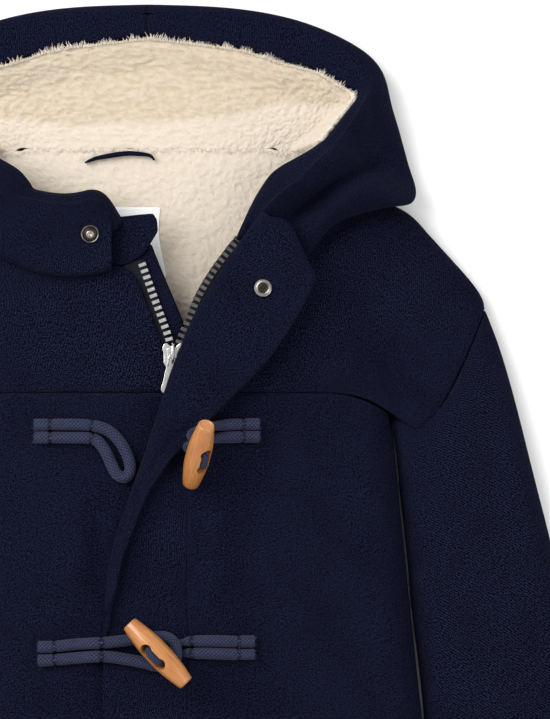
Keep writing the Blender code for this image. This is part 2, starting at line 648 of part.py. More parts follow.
def hood(side):
    """Half of the hood: u from the rim round its folded edge to the neck, v to its front."""
    rows = HOOD + (COLLAR if side == RIGHT else HOOD_LEFT_END)
    last_hood_row = len(HOOD) - 1

    def surface(u, v):
        station = v * (len(rows) - 1)
        rim_x, rim_y, rim_z, edge_x, edge_y, seam_x, seam_y = spline(rows, station)
        over = smooth((station - 10.5) / 2.0)
        low_roll = smooth((station - last_hood_row) / 2.0) if side == RIGHT else 0.0
        rim, edge, seam = (rim_x, rim_y), (edge_x, edge_y), (seam_x, seam_y)
        upper = mix(min(14.0, 0.96 * math.dist(rim, edge)), 4.2, low_roll)
        under = mix(min(11.0, 0.6 * math.dist(seam, edge)), 4.0, low_roll)
        low = hood_low(edge_x, edge_y, over)
        edge_z = mix(min(low + 7.0, mix(low, rim_z, 0.5)), low + 3.4, low_roll)
        fall = rim_z - 0.9 * (math.dist(rim, edge) - upper)
        high = mix(min(rim_z, max(edge_z + 9.0, fall)), low + 6.9, low_roll)
        top = toward(edge, rim, upper)
        base = toward(edge, seam, under)
        if u < 0.5:
            if u < 0.3:
                spot, z = mix_point(rim, top, u / 0.3), mix(rim_z, high, smooth(u / 0.3))
            else:
                into, up = quarter(1.0 - (u - 0.3) / 0.2)
                spot, z = toward(edge, rim, upper * into), mix(edge_z, high, up)
            into, up = quarter(1.0 - u / 0.5)
            narrow = smooth((18.0 - math.dist(rim, edge)) / 8.0) * (1.0 - low_roll)
            spot = mix_point(spot, toward(edge, rim, math.dist(rim, edge) * into), narrow)
            z = mix(z, mix(edge_z, rim_z, up), narrow)
        elif u < 0.72:
            into, up = quarter((u - 0.5) / 0.22)
            spot = toward(edge, seam, under * into)
            z = mix(edge_z, hood_low(*spot, over), up)
        else:
            spot = mix_point(base, seam, (u - 0.72) / 0.28)
            z = hood_low(*spot, over)
        return side * (spot[0] + SEAM), spot[1], z

    return surface


def facing_rows(side):
    """Rim and inner edge of the facing at each row: six columns."""
    rows = []
    outline = HOOD + (HOOD_LEFT_END if side == LEFT else ())
    for rim, inner in zip(outline, FACING):
        rows.append((*rim[:3], *inner[:3]))
    if side == RIGHT:
        for rim, drift in zip(COLLAR, (0, 0, 0, 0, 0.4, 1.4, 3.0)):
            rows.append((*rim[:3], rim[0] - drift, rim[1] + 5.6 - 0.3 * drift, rim[2] - 14.0))
    return rows


def facing(side):
    """Facing inside the hood's rim: u from the rim inwards, v to the front."""
    rows = facing_rows(side)

    def surface(u, v):
        station = v * (len(rows) - 1)
        rim_x, rim_y, rim_z, in_x, in_y, in_z = spline(rows, station)
        rim, inner = (rim_x, rim_y), (in_x, in_y)
        steep = smooth(1.0 - abs(station - 7.0) / 2.5)
        start = toward(rim, inner, SEAM + 0.15 + 1.4 * steep)
        bend = toward(rim, inner, min(0.85 * math.dist(rim, inner), WOOL + 2.4))
        a, b, c = (1 - u) ** 2, 2 * u * (1 - u), u ** 2
        spot = [a * start[k] + b * bend[k] + c * inner[k] for k in (0, 1)]
        return side * (spot[0] + SEAM), spot[1], (a + b) * rim_z + c * in_z

    return surface


def hood_lining(u, v):
    """Sherpa inside the hood: u from the facing down to the neck, v from side to side."""
    station = (2.0 * v - 1.0) * LINED_ROWS
    in_x, in_y, in_z, floor_x, floor_y = spline(FACING, abs(station))
    inner, floor = (in_x, in_y), (floor_x, floor_y)
    start = toward(inner, floor, 1.4)
    reach = math.dist(start, floor)
    spot = mix_point(start, floor, u)
    fall = smooth(u * reach / min(18.0, reach))
    x = math.copysign(spot[0], station) if abs(station) > 1e-9 else 0.0
    return x, spot[1], mix(in_z + 1.0, LINING_TOP_Z - 0.5, fall)


def back_lining(u, v):
    """Sherpa over the back, inside the neck."""
    y = mix(221.5, 100.0, v)
    reach = mix(62.0, 72.0, smooth((221.5 - y) / 18.0))
    return mix(-reach, reach, u), y, LINING_TOP_Z


def flap(u, v):
    """Flap: u from its seam round the fold to its free edge, v from its top to the hem."""
    row = v * (len(FLAP) - 1)
    fold_x, fold_y, free_x, free_y, root_x, root_y, base, free_lift, turn = spline(FLAP, row)
    turn = math.radians(min(180.0, max(0.0, turn)))
    fold, free, root = (fold_x, fold_y), (free_x, free_y), (root_x, root_y)
    away = toward((0.0, 0.0), (free_x - fold_x, free_y - fold_y), 1.0)
    bend = FOLD_RADIUS + (FOLD_EASE * (1.0 - turn / math.pi) / turn if turn > 0.01 else 0.0)
    end = max(1.0, math.dist(fold, free) - FOLD_RADIUS) if turn > 3.1 else 1.0
    reach = bend * math.sin(min(turn, math.pi / 2)) if turn > 0.01 else FOLD_EASE
    if turn < math.pi / 2:
        reach += end * math.cos(turn)
    start = (fold[0] + away[0] * reach, fold[1] + away[1] * reach)
    low = body_top(*start) + base
    if u < 0.34:
        spot = mix_point(root, start, u / 0.34)
        return *spot, body_top(*spot) + base
    swept = turn * min(1.0, (u - 0.34) / 0.33)
    if turn > 0.01:
        out, up = bend * math.sin(swept), bend * (1.0 - math.cos(swept))
    else:
        out, up = FOLD_EASE * min(1.0, (u - 0.34) / 0.33), 0.0
    share = max(0.0, (u - 0.67) / 0.33)
    out += end * share * math.cos(turn)
    up += end * share * math.sin(turn)
    bow = FLAP_BOW * math.sin(math.pi * math.sqrt(share)) * math.sqrt(1.0 - share)
    bow *= max(0.0, 1.0 - row / 1.6) ** 2
    x = start[0] - away[0] * out - away[1] * bow
    y = start[1] - away[1] * out + away[0] * bow
    folded_share = (turn / math.pi) ** 8
    up += (free_lift - base - 2.0 * FOLD_RADIUS) * share * folded_share
    return x, y, low + up + body_top(x, y) - body_top(*start)


def tape(side):
    """Zip tape: u from the teeth outwards under the front, v from its top end down."""
    width = 10.0

    def surface(u, v):
        x, y = along(TEETH[side], v)[:2]
        ahead = along(TEETH[side], min(1.0, v + 0.01))
        behind = along(TEETH[side], max(0.0, v - 0.01))
        run = toward((0.0, 0.0), (ahead[0] - behind[0], ahead[1] - behind[1]), 1.0)
        x -= side * run[1] * width * u
        y += side * run[0] * width * u
        return x, y, body_top(x, y) - WOOL - 0.4

    return surface


def guard(u, v):
    """Panel behind the zip: u from its inner edge, v from its top down."""
    inner_x, outer_x, y = spline(GUARD, v * (len(GUARD) - 1))
    x = mix(inner_x, outer_x, u)
    return x, y, body_top(x, y) - WOOL - TAPE - 0.9


def label(u, v):
    y, right_x = spline(LABEL, v * (len(LABEL) - 1))
    return mix(LABEL_LEFT_X, right_x, u), y, LINING_TOP_Z + SEAM + 0.6


def fastened_top(x, y):
    """Height of the closed coat's top, which a cord lies on: fronts, with the flap between."""
    if x > 24.0:
        lift = left_step(x, y)
    elif x > 19.0:
        lift = 4.7
    else:
        lift = (0.7 + TWO_PLY) * smooth((x + 32.0) / 7.0)
    return body_top(x, y) + lift


def front_top(x, y):
    return body_top(x, y) + (left_step(x, y) if x > 0 else 0.0)


def raised(rows, over, shift=0.0):
    """Rows of (x, y, height, radius) set on the surface over(x, y)."""
    made = []
    for x, y, height, *radius in rows:
        y += shift
        made.append((x, y, over(x, y) + height, radius[0] if radius else CORD_DIAMETER / 2))
    return made


def frame_of(toggle, over):
    """Middle, axis and slot direction of a toggle."""
    row_y, low_x, low_y, low_z, high_x, high_y, high_z, *slot = toggle
    mid_x, mid_y = (low_x + high_x) / 2, (low_y + high_y) / 2 + row_y
    ground = over(mid_x, mid_y)
    low = Vector((low_x, low_y + row_y, ground + low_z))
    high = Vector((high_x, high_y + row_y, ground + high_z))
    axis = (high - low).normalized()
    slot = Vector(slot)
    slot = (slot - axis * slot.dot(axis)).normalized()
    return (low + high) / 2, axis, slot


def slot_path(middle, axis, slot):
    """The cord's way through a toggle: in at the back, along the groove and out again."""
    rows = []
    for share, out in (
        (1.0, -6.4), (1.0, -2.0), (1.0, 3.0), (0.8, 4.7), (0.4, 5.4),
        (-0.4, 5.4), (-0.8, 4.7), (-1.0, 3.0), (-1.0, -2.0), (-1.0, -6.4),
    ):
        rows.append((*(middle + axis * (share * STRAND_HALF) + slot * out), CORD_IN_SLOT))
    return rows


def toggle(name, toggle_row, over, finish, collection, cutters):
    middle, axis, slot = frame_of(toggle_row, over)
    half = TOGGLE_LENGTH / 2
    belly = TOGGLE_BELLY / 2
    end = TOGGLE_END / 2
    shoulder, waist = mix(end, belly, 0.6), belly * 0.98
    profile = [(0.0, -half), (end, -half), (shoulder, -half * 0.66), (waist, -half * 0.27)]
    profile += [(radius, -height) for radius, height in reversed(profile)]
    item = turned(name, profile, 16, finish, collection)
    turn = axis.to_track_quat("Z", "Y").to_matrix().to_4x4()
    item.matrix_world = Matrix.Translation(middle * MM) @ turn
    along_axis, through = axis * HOLE_HALF, slot * BORE_REACH
    rods = {
        "hole_a": (along_axis - through, along_axis + through, HOLE_RADIUS),
        "hole_b": (-along_axis - through, through - along_axis, HOLE_RADIUS),
        "groove": (slot * GROOVE_OUT - along_axis, slot * GROOVE_OUT + along_axis, GROOVE_RADIUS),
    }
    for rod_name, (start, stop, radius) in rods.items():
        rows = [(*(middle + start), radius), (*(middle + stop), radius)]
        rod = solid_tube("%s_%s" % (name, rod_name), rows, finish, cutters)
        combine(item, rod, "DIFFERENCE")
    return item


def spot_on(surface, x, y):
    """Point and upward normal of surface(u, v) nearest above the plan point."""
    best = None
    count = 60
    for i in range(count + 1):
        for j in range(count + 1):
            point = Vector(surface(i / count, j / count))
            miss = (point.x - x) ** 2 + (point.y - y) ** 2 - point.z * 0.2
            if best is None or miss < best[0]:
                best = (miss, i / count, j / count, point)
    _, u, v, point = best
    normal = normal_at(surface, u, v, False)
    return point, normal if normal.z > 0 else -normal


def snap(name, profile, surface, spot, finish, collection):
    point, normal = spot_on(surface, *spot)
    item = turned(name, profile, 20, finish, collection)
    base = (point + normal * SNAP_LIFT) * MM
    item.matrix_world = Matrix.Translation(base) @ normal.to_track_quat("Z", "Y").to_matrix().to_4x4()
    return item


def slider(finish, collection, cutters):
    x, y = SLIDER_SPOT
    ground = body_top(x, y)
    outline = [(x + a, y + b) for a, b in SLIDER]
    outline += [(x - a, y + b) for a, b in reversed(SLIDER[1:])]
    item = plate("zip_slider", [outline], lambda a, b: ground + 0.4, lambda a, b: ground + 2.0,
                 finish, collection)
    arch = [(13.1, 122.4, 1.0), (13.1, 121.9, 4.0), (13.05, 120.6, 5.2), (12.95, 116.0, 5.2),
            (12.9, 114.6, 4.4), (12.88, 113.9, 1.0)]
    bridge = solid_tube("zip_slider_bridge", [(a, b, ground + c, 1.2) for a, b, c in arch], finish, cutters)
    combine(item, bridge, "UNION")
    return item


def pull(finish, collection):
    """Pull tab, with the hole that the slider's bridge goes through."""
    top, end = Vector(PULL_TOP), Vector(PULL_END)
    down = (end - top).normalized()
    side = Vector((-down.y, down.x))
    grid = {}
    for i, across in enumerate(PULL_ACROSS):
        for j, along_it in enumerate(PULL_ALONG):
            grid[i, j] = tuple(top + side * across + down * along_it)
    cells = [[grid[i, j], grid[i + 1, j], grid[i + 1, j + 1], grid[i, j + 1]]
             for i in range(3) for j in range(3) if (i, j) != (1, 1)]
    ground = body_top(*PULL_TOP)

    def low(x, y):
        share = (PULL_TOP[1] - y) / (PULL_TOP[1] - PULL_END[1])
        return ground + mix(2.5, 1.2, share)

    return plate("zip_pull", cells, low, lambda x, y: low(x, y) + 1.0, finish, collection)


def build():
    for item in list(bpy.data.objects):
        bpy.data.objects.remove(item, do_unlink=True)
    coat = bpy.data.collections.new("duffle_coat")
    bpy.context.scene.collection.children.link(coat)
    cutters = bpy.data.collections.new("cutters")
    bpy.context.scene.collection.children.link(cutters)
    navy = material("navy_wool", (0.012, 0.016, 0.045), 0.95)
    cream = material("cream_sherpa", (0.78, 0.71, 0.58), 1.0)
    nickel = material("nickel", (0.72, 0.71, 0.68), 0.3, 1.0)
    wood = material("varnished_wood", (0.62, 0.30, 0.10), 0.35)
    braid = material("navy_braid", (0.045, 0.065, 0.13), 0.85)
    silver = material("old_silver", (0.52, 0.50, 0.46), 0.45, 1.0)
    satin = material("white_satin", (0.85, 0.84, 0.80), 0.5)

    wall("back", back, 16, len(BACK_ROWS) - 1, WOOL, navy, coat)
    for side, word in ((RIGHT, "right"), (LEFT, "left")):
        sign = float(side)
        wall("front_" + word, front_panel(side), 13, 14, WOOL, navy, coat, inside=-sign)
        wall("yoke_" + word, yoke(side), 12, 12, WOOL, navy, coat, inside=-sign)
        wall("sleeve_" + word, sleeve(side), 20, 13, WOOL, navy, coat, wrap=True, inside=-sign)
        hood_rows = len(facing_rows(side)) - 1
        wall("hood_" + word, hood(side), 14, hood_rows, WOOL, navy, coat, inside=-sign)
        wall("hood_facing_" + word, facing(side), 4, hood_rows, WOOL, navy, coat, inside=sign)
        wall("zip_tape_" + word, tape(side), 1, 18, TAPE, navy, coat, inside=-sign)
    wall("hood_lining", hood_lining, 7, 2 * LINED_ROWS, SHERPA, cream, coat)
    wall("back_lining", back_lining, 8, 8, SHERPA, cream, coat, inside=-1.0)
    wall("flap", flap, 12, len(FLAP) - 1, TWO_PLY, navy, coat, inside=-1.0)
    wall("zip_guard", guard, 2, 2 * len(GUARD) - 2, WOOL, navy, coat)
    wall("label", label, 4, 6, 0.6, satin, coat, inside=-1.0)
    tube("hanger_loop", [(x, y, LINING_TOP_Z + SEAM + 1.6, 1.5) for x, y in HANGER_LOOP], navy, coat)
    chin_low, chin_high = CHIN_TAB_LOW, CHIN_TAB_LOW + WOOL
    plate("chin_tab", [list(CHIN_TAB)], lambda x, y: chin_low, lambda x, y: chin_high, navy, coat)
    slider(nickel, coat, cutters)
    pull(nickel, coat)
    tube("loop_cord_1", raised(OPEN_LOOP, front_top), braid, coat)
    for number, row in enumerate(TOGGLES, start=1):
        over = front_top if number == 1 else fastened_top
        strands = OPEN_STRANDS if number == 1 else SHUT_STRANDS
        toggle("toggle_%d" % number, row, over, wood, coat, cutters)
        shift = row[0]
        ways = [raised(strand, over, shift) for strand in strands]
        through = slot_path(*frame_of(row, over))
        if number > 1:
            through.reverse()
        tube("toggle_cord_%d" % number, ways[0] + through + ways[1][::-1], braid, coat)
        if number > 1:
            tube("loop_cord_%d" % number, raised(SHUT_LOOP, over, shift), braid, coat)
    radius = SNAP_DIAMETER / 2
    stud = [(0.0, 0.0), (radius, 0.0), (radius, 0.5), (radius * 0.8, 1.0), (1.9, 1.1), (2.1, 2.6),
            (1.4, 3.1), (0.0, 3.1)]
    socket = [(0.0, 0.0), (radius, 0.0), (radius, 0.9), (radius * 0.8, 1.7), (2.6, 1.7), (2.2, 0.8),
              (0.0, 0.8)]
    snap("snap_stud", stud, hood(RIGHT), SNAP_STUD_AT, silver, coat)
    snap("snap_socket", socket, flap, SNAP_SOCKET_AT, silver, coat)


build()
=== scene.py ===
"""Child's wool duffle coat, laid flat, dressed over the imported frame.

Every panel is a wall of quads on a surface worked out from the tables below, with its own
UV map in metres, finished by Subdivision Surface and by soft folds placed in millimetres.
"""

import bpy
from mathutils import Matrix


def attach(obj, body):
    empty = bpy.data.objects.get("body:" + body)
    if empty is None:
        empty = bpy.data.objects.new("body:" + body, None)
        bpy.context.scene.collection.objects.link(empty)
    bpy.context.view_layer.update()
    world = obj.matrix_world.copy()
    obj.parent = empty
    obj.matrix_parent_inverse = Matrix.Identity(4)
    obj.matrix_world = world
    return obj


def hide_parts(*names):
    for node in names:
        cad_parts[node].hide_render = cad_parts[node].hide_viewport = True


bl_info = {
    "name": "Duffle Coat",
    "version": (1, 0, 0),
    "blender": (4, 5, 0),
    "location": "3D View > Sidebar > Coat",
    "description": "Dresses a child's duffle coat in wool, pile lining, cord, wood and metal",
    "category": "Object",
}

import math
import random

import bmesh
import bpy
import numpy as np
from mathutils import Matrix, Vector, noise
from mathutils.bvhtree import BVHTree

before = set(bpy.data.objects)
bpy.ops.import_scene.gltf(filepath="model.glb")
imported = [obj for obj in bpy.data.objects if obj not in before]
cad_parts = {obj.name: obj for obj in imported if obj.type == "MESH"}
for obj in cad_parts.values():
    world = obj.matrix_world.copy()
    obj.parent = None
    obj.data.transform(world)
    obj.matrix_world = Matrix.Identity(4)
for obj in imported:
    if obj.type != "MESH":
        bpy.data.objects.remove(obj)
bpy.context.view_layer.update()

MM = 0.001


# Driving sizes, in millimetres.
WOOL = 2.5            # outer cloth
SHERPA = 5.0          # lining with its pile
TWO_PLY = 3.4         # the flap, cut double
TAPE = 1.0            # zip tape
SEAM = 0.3            # gap between two pieces at a seam
SEAM_SLACK = 0.03     # half of what is left of it along the hood's middle
HEM_Y = -295.0
NECK_BACK_Y = 217.0   # back neck seam
SIDE_ROLL = 14.0      # how far in from the side the cloth turns round
SHOULDER_Z = 7.0      # height of the shoulder and sleeve edges
CORD_DIAMETER = 6.0
TOGGLE_LENGTH = 41.0
TOGGLE_BELLY = 12.4
TOGGLE_END = 8.0
SNAP_DIAMETER = 9.6

RIGHT, LEFT = -1, 1   # the wearer's sides, as signs of X
SIDES = ((RIGHT, "right"), (LEFT, "left"))

# Body: the half width and the heights of the front over the ground, from neck to hem.
BODY = (
    # y, half_width, side_height, centre_height
    (225, 112, 17, 26), (160, 118, 18, 33), (99, 120, 20, 35), (64, 125, 24, 35),
    (0, 131, 26, 35), (-61, 138, 26, 34), (-180, 149, 24, 31), (-295, 160, 20, 27),
)
# Heights up the coat at which the back's rows of points lie, from neck to hem.
BACK_ROWS = (205.7, 203, 199.5, 190, 182, 168, 155, 147, 141, 135, 125, 114, 103, 92, 88, 85, 83, 68, 45,
             15, -22, -65, -110, -155, -200, -250, -295)
# Shoulder line from the neck to the tip, in plan.
SHOULDER = (
    # x, y
    (83, 206), (108, 199.5), (131, 189.5), (138.5, 182), (151.5, 167.5),
    (163, 155), (168.5, 147.5), (170.5, 141),
)
# Sleeve: each row is a line across it, bent towards a middle point.
SLEEVE = (
    # inner_x, inner_y, mid_x, mid_y, outer_x, outer_y, height
    (125, 82, 140, 60, 170.5, 141, 17), (126.2, 66, 146, 78, 178, 121, 18),
    (128.2, 42, 155.5, 62, 186, 93, 19), (131.6, 10, 163, 33, 195, 57, 20),
    (135.6, -22, 169.5, 0, 204, 22, 20), (140.2, -65, 177, -42, 214, -20, 20),
    (145.6, -120, 186.5, -99, 228, -78, 19), (153, -178, 198, -160, 243.5, -143, 18),
    (162, -231, 210.5, -219.5, 259, -208, 16),
)
TONGUE = 0.33         # where the yoke's tongue ends, as a share of the armhole from inside
# Lower seam of the yoke, from beside the flap to the tongue.
YOKE_SEAM = (
    # x, y
    (60, 99), (94, 98.6), (104, 97.4), (113, 94.5), (120, 90.3), (127, 84.6), (136.1, 79.5),
)
# Neck and front edge of the right yoke, as seen on its own side (x grows outwards).
RIGHT_NECK = (
    # x, y
    (83, 206), (81, 190), (73.5, 172), (57.5, 162.5), (36, 160), (17.5, 162), (8, 164.5),
)
RIGHT_EDGE = (
    # x, y
    (6.5, 162.5), (2, 149), (-3, 135.5), (-7.5, 124), (-11, 110), (-12.5, 99),
)
LEFT_NECK = ((83, 206), (74, 199), (63, 190.5), (50.5, 181))
LEFT_EDGE = (
    # x, y
    (49.5, 179), (42, 167), (36, 158.5), (30, 147), (25, 134.5), (21.5, 123), (20.5, 99),
)
# Front edges below the yoke, at the zip.
LOWER_EDGE = {RIGHT: -13, LEFT: 21.3}
# Teeth lines of the zip, from the top to where both run down side by side.
TEETH = {
    RIGHT: ((-4, 165.5), (1.5, 150), (6.5, 136.5), (10.5, 125), (13.2, 112), (15.2, 96),
            (16.6, 60), (16.8, 0), (16.8, -110), (16.8, -228)),
    LEFT: ((46.5, 176.5), (38, 165.5), (32, 157), (25.5, 145.5), (20.5, 133), (16.2, 122),
           (15, 112), (16.4, 96), (17.6, 60), (17.8, 0), (17.8, -110), (17.8, -228)),
}
# Hood, half of it: its rim, its widest edge and its neck seam, from the top to the front.
HOOD = (
    # rim_x, rim_y, rim_z, edge_x, edge_y, seam_x, seam_y
    (0, 289.5, 13, 0, 294.5, 0, 217.5), (26.5, 289, 13, 27, 293.8, 20, 217.1),
    (51, 286.8, 13, 51.8, 291.6, 38, 215.6), (74, 281.8, 14, 76, 286.4, 52, 214.2),
    (93.8, 273.6, 15, 96.8, 278, 60, 212.2), (106.6, 265, 17, 111.7, 268.7, 66.5, 210.9),
    (112.8, 257, 19, 119.2, 258.4, 71, 210.1), (111, 250, 24, 122.4, 245, 74.5, 209.3),
    (108, 243.5, 28, 126, 233.5, 77.5, 208.6), (103.5, 236.5, 32, 129.2, 222, 80, 208.1),
    (99, 230, 35, 132.2, 211, 82.3, 207.8), (93, 221.5, 38, 135.4, 201, 84.8, 207.6),
    (85, 214.5, 41, 133, 193, 86.5, 202.5), (76.5, 206, 43, 121, 191.6, 84.5, 197),
    (70, 201, 44, 107.5, 188.4, 80.6, 190.5), (64, 196, 44, 94, 183.5, 75, 180.5),
)
# Front end of the hood's left half, under the turned flap: same columns as HOOD.
HOOD_LEFT_END = (
    (57.5, 189.5, 40, 85, 172.5, 66.5, 178), (54.5, 184.5, 36.5, 77, 163.5, 61, 171.5),
)
# Collar end of the hood's right half, a low roll sewn down in front: same columns as HOOD.
COLLAR = (
    (55.5, 194.8, 43, 76, 168, 66.5, 172.8), (43, 192.8, 43, 57.5, 159.3, 54.5, 166.8),
    (34, 193.6, 43, 45, 157, 43.5, 164.8), (28.5, 194.9, 43, 34, 156.7, 33.4, 164.6),
    (24, 194.4, 42, 26, 157.6, 25.6, 165.4), (20.3, 191.2, 41, 21, 158.6, 20.8, 166.4),
    (17.2, 185.4, 40, 17.4, 160, 17.2, 167.6),
)
# Facing's inner edge and, below it, where the lining reaches the neck: a row for each row
# of HOOD and HOOD_LEFT_END.
FACING = (
    # x, y, z, floor_x, floor_y
    (0, 278.4, 13, 0, 222), (24.5, 275.6, 13, 18.5, 222), (47, 272.4, 13, 34.5, 222),
    (69, 265.6, 14, 45.5, 222), (85.8, 261, 14.5, 52.5, 222), (96.5, 254.6, 15, 56.6, 222),
    (102.8, 251, 15.5, 59.6, 222), (104.8, 247.6, 17, 62, 222), (102.6, 243.8, 18, 64, 221.8),
    (98.7, 239, 20, 65.5, 221.2), (94.2, 233, 23, 66.8, 220.6), (88.2, 225.6, 27, 67.5, 219.5),
    (79.4, 219.2, 30, 66, 212), (68, 213, 31, 60, 209), (62, 208.6, 32, 58, 205),
    (57.5, 202.6, 32, 56, 201), (52.2, 193.8, 31, 50, 192), (45.9, 180, 32, 47, 186),
)
LINED_ROWS = 11       # the hood's lining ends at this row, under the facing
# Flap: its folded edge, its free edge and where it is sewn on.  base is the height of its
# under side over the coat, free_lift that of its free edge, and turn how far it is turned
# back, in degrees.
FLAP = (
    # fold_x, fold_y, free_x, free_y, root_x, root_y, base, free_lift, turn
    (57.8, 189.3, 85.3, 156.4, 60.8, 182, 13, 17, 180),
    (46.6, 175.2, 78.2, 141.6, 51.6, 172, 4.6, 13.5, 180),
    (37.6, 161.4, 70.2, 128.2, 43.4, 160, 0.9, 12.5, 180),
    (29, 146.8, 60.4, 114.6, 36, 146, 0.7, 13, 180),
    (21.6, 134.4, 50, 103.6, 29.6, 133.4, 1.4, 13.4, 180),
    (16, 120, 40.6, 94, 24.8, 119.4, 2.8, 13.8, 180),
    (11.2, 107.6, 31.2, 84.6, 22.6, 107, 3, 14.2, 180),
    (7.2, 95, 22, 74.6, 20.9, 94.6, 2.9, 14, 180),
    (2.8, 81.2, 12.6, 66.2, 20.6, 81, 1.8, 12.8, 180),
    (-1, 69, 6.4, 57.2, 20.6, 69, 0.9, 11.6, 180),
    (-5.4, 57.6, 0.6, 48.6, 20.6, 57.6, 0.7, 11.2, 180),
    (-10.2, 43, -4.4, 36.4, 20.6, 43, 0.7, 10.9, 180),
    (-14.8, 30.4, -9, 24.6, 20.6, 30.4, 0.7, 10.7, 180),
    (-18.4, 16.4, -13, 12.6, 20.6, 16.4, 0.7, 10.7, 180),
    (-20.4, 3, -15, 0.4, 20.6, 3, 0.7, 10.7, 180),
    (-21.2, -8, -15.6, -8.6, 20.6, -8, 0.7, 10.7, 120),
    (-21.6, -18, -16.8, -18.2, 20.6, -18, 0.7, 10.7, 55),
) + tuple(   # closed and straight from here to the hem
    (-21.8, y, -16.8, y, 20.6, y, 0.7, 10.7, 0) for y in (-28, -62, -110, -160, -210, -255, -294)
)
FOLD_RADIUS = 5     # of the flap's fold, outside
FOLD_EASE = 3       # length of cloth that would fold, where the flap is flat
FLAP_BOW = 7.7        # how far the flap's top edge bows outwards
# Panel behind the zip: its inner edge beside the left teeth and its other edge.
GUARD = (
    # inner_x, outer_x, y
    (2, -20, 173.5), (6.5, -18, 162), (13, -14, 146.5), (18.5, -8, 133),
    (22.5, -3, 118), (24.5, 0, 96), (26, 1, 40), (26, 1, -228),
)
CHIN_TAB_LOW = 29   # height of its underside, over the end of the tape
CHIN_TAB = (
    # x, y round the small tab over the top of that panel
    (-16, 185.3), (-3.5, 188), (3, 188.5), (5, 185.5), (5.5, 179.5), (2.5, 174.5), (-1.2, 169),
    (-4.2, 166.6), (-9, 167), (-15.4, 172),
)
LABEL = (
    # y, right_x
    (192, 6.5), (185, 5.6), (177.5, 5.5), (167, 7.2), (156, 9.5),
)
LABEL_LEFT_X = -19.5
HANGER_LOOP = (
    # x, y
    (-31.5, 214.5), (-28, 216), (-24.5, 217), (-12, 219), (-4, 218.8), (1, 218), (3, 216),
)
LINING_TOP_Z = 9.5    # floor of lining inside the neck
# Left loop of the first row, which hangs open.
OPEN_LOOP = (
    # x, y, height over the front
    (-56, 82.6, 3.3), (-40, 82.8, 3.3), (-28, 82.3, 3.3), (-19.5, 79.8, 3.3), (-13.2, 73.8, 3.4),
    (-9.4, 66.4, 3.5), (-8.2, 60.4, 3.4), (-10.4, 56.6, 3.3), (-14.6, 57.6, 3.3), (-17.6, 62.6, 3.3),
    (-21.4, 70.6, 3.3), (-27, 75.6, 3.3), (-40, 76.2, 3.3), (-56, 76.3, 3.3),
)
# Left loop of a fastened row, round the cord under its toggle; y from the row's place.
SHUT_LOOP = (
    # x, y, height, radius
    (-54, -28.4, 3.3, 3), (-46.5, -28.2, 3.3, 3), (-35, -27, 3.3, 3), (-25, -26.2, 4.3, 3),
    (-19, -25.8, 3.8, 3), (-9.8, -24.8, 3.5, 3), (-2, -23.4, 4.4, 2.8), (4, -22.8, 5.8, 2.7),
    (9.5, -22.9, 6.9, 2.7), (13.4, -25.2, 7.1, 2.7), (15, -29.5, 7.1, 2.7), (14.4, -34.6, 6.6, 2.7),
    (10.5, -37.6, 5.4, 2.7), (5, -37.8, 4.4, 2.8), (-2, -35.9, 3.6, 3), (-12, -34, 3.5, 3),
    (-19, -33, 3.8, 3), (-25, -32.9, 4.3, 3), (-35, -33.8, 3.3, 3), (-46.5, -34.8, 3.3, 3),
    (-54, -35.2, 3.3, 3),
)
# Right cord of a fastened row: its two strands, from the base to under the toggle.
SHUT_STRANDS = (
    (   # x, y, height, radius
        (53.5, -25.6, 3.3, 3), (45.5, -25.6, 3.3, 3), (33, -25.2, 3.3, 3),
        (23, -25.2, 3.1, 2.8), (17.5, -26, 2.1, 1.8), (12, -26.6, 2.1, 1.8),
        (7.5, -27.6, 3.2, 1.8), (5.2, -28.2, 5.6, 1.8), (5.3, -27.3, 8, 1.8),
    ),
    (
        (53.5, -32, 3.3, 3), (45.5, -32, 3.3, 3), (33, -31.4, 3.3, 3),
        (23, -31.2, 3.1, 2.8), (17.5, -31.1, 2.1, 1.8), (12.5, -31.2, 2.1, 1.8),
        (9.8, -31.6, 3.4, 1.8), (9.3, -31.9, 5.8, 1.8), (10.2, -31.8, 8.2, 1.8),
    ),
)
OPEN_STRANDS = (
    (   # x, y, height, radius
        (56, 82.9, 3.3, 3), (49, 82.9, 3.3, 3), (42, 82.8, 3.3, 3),
        (37.5, 82.4, 3.6, 2.8), (34, 82.2, 6.8, 2.4), (31, 81.8, 11.6, 2.1),
        (25, 80.2, 13, 1.9), (22.2, 78.6, 14.4, 1.8), (21.8, 77, 15.8, 1.8),
    ),
    (
        (56, 76.6, 3.3, 3), (49, 76.6, 3.3, 3), (42, 76.5, 3.3, 3),
        (36.5, 76.2, 3.4, 2.8), (31, 75.4, 4.8, 2.3), (27.8, 74.8, 8.6, 2),
        (24.8, 74.2, 12, 1.9), (21, 73, 12.6, 1.8), (19.9, 71.4, 11.6, 1.8),
    ),
)
# Where the cords are tacked down: in the open row, and in a fastened row, y from its place.
OPEN_TACKS = (
    # x, y, half the length of the tack
    (-48.3, 79.5, 6.2), (-27.6, 78.7, 6), (48, 79.7, 6.2),
)
SHUT_TACKS = ((-46.2, -31.5, 6.3), (-22.6, -29.5, 6.2), (45.6, -28.8, 6.2), (22.6, -28.3, 5.8))
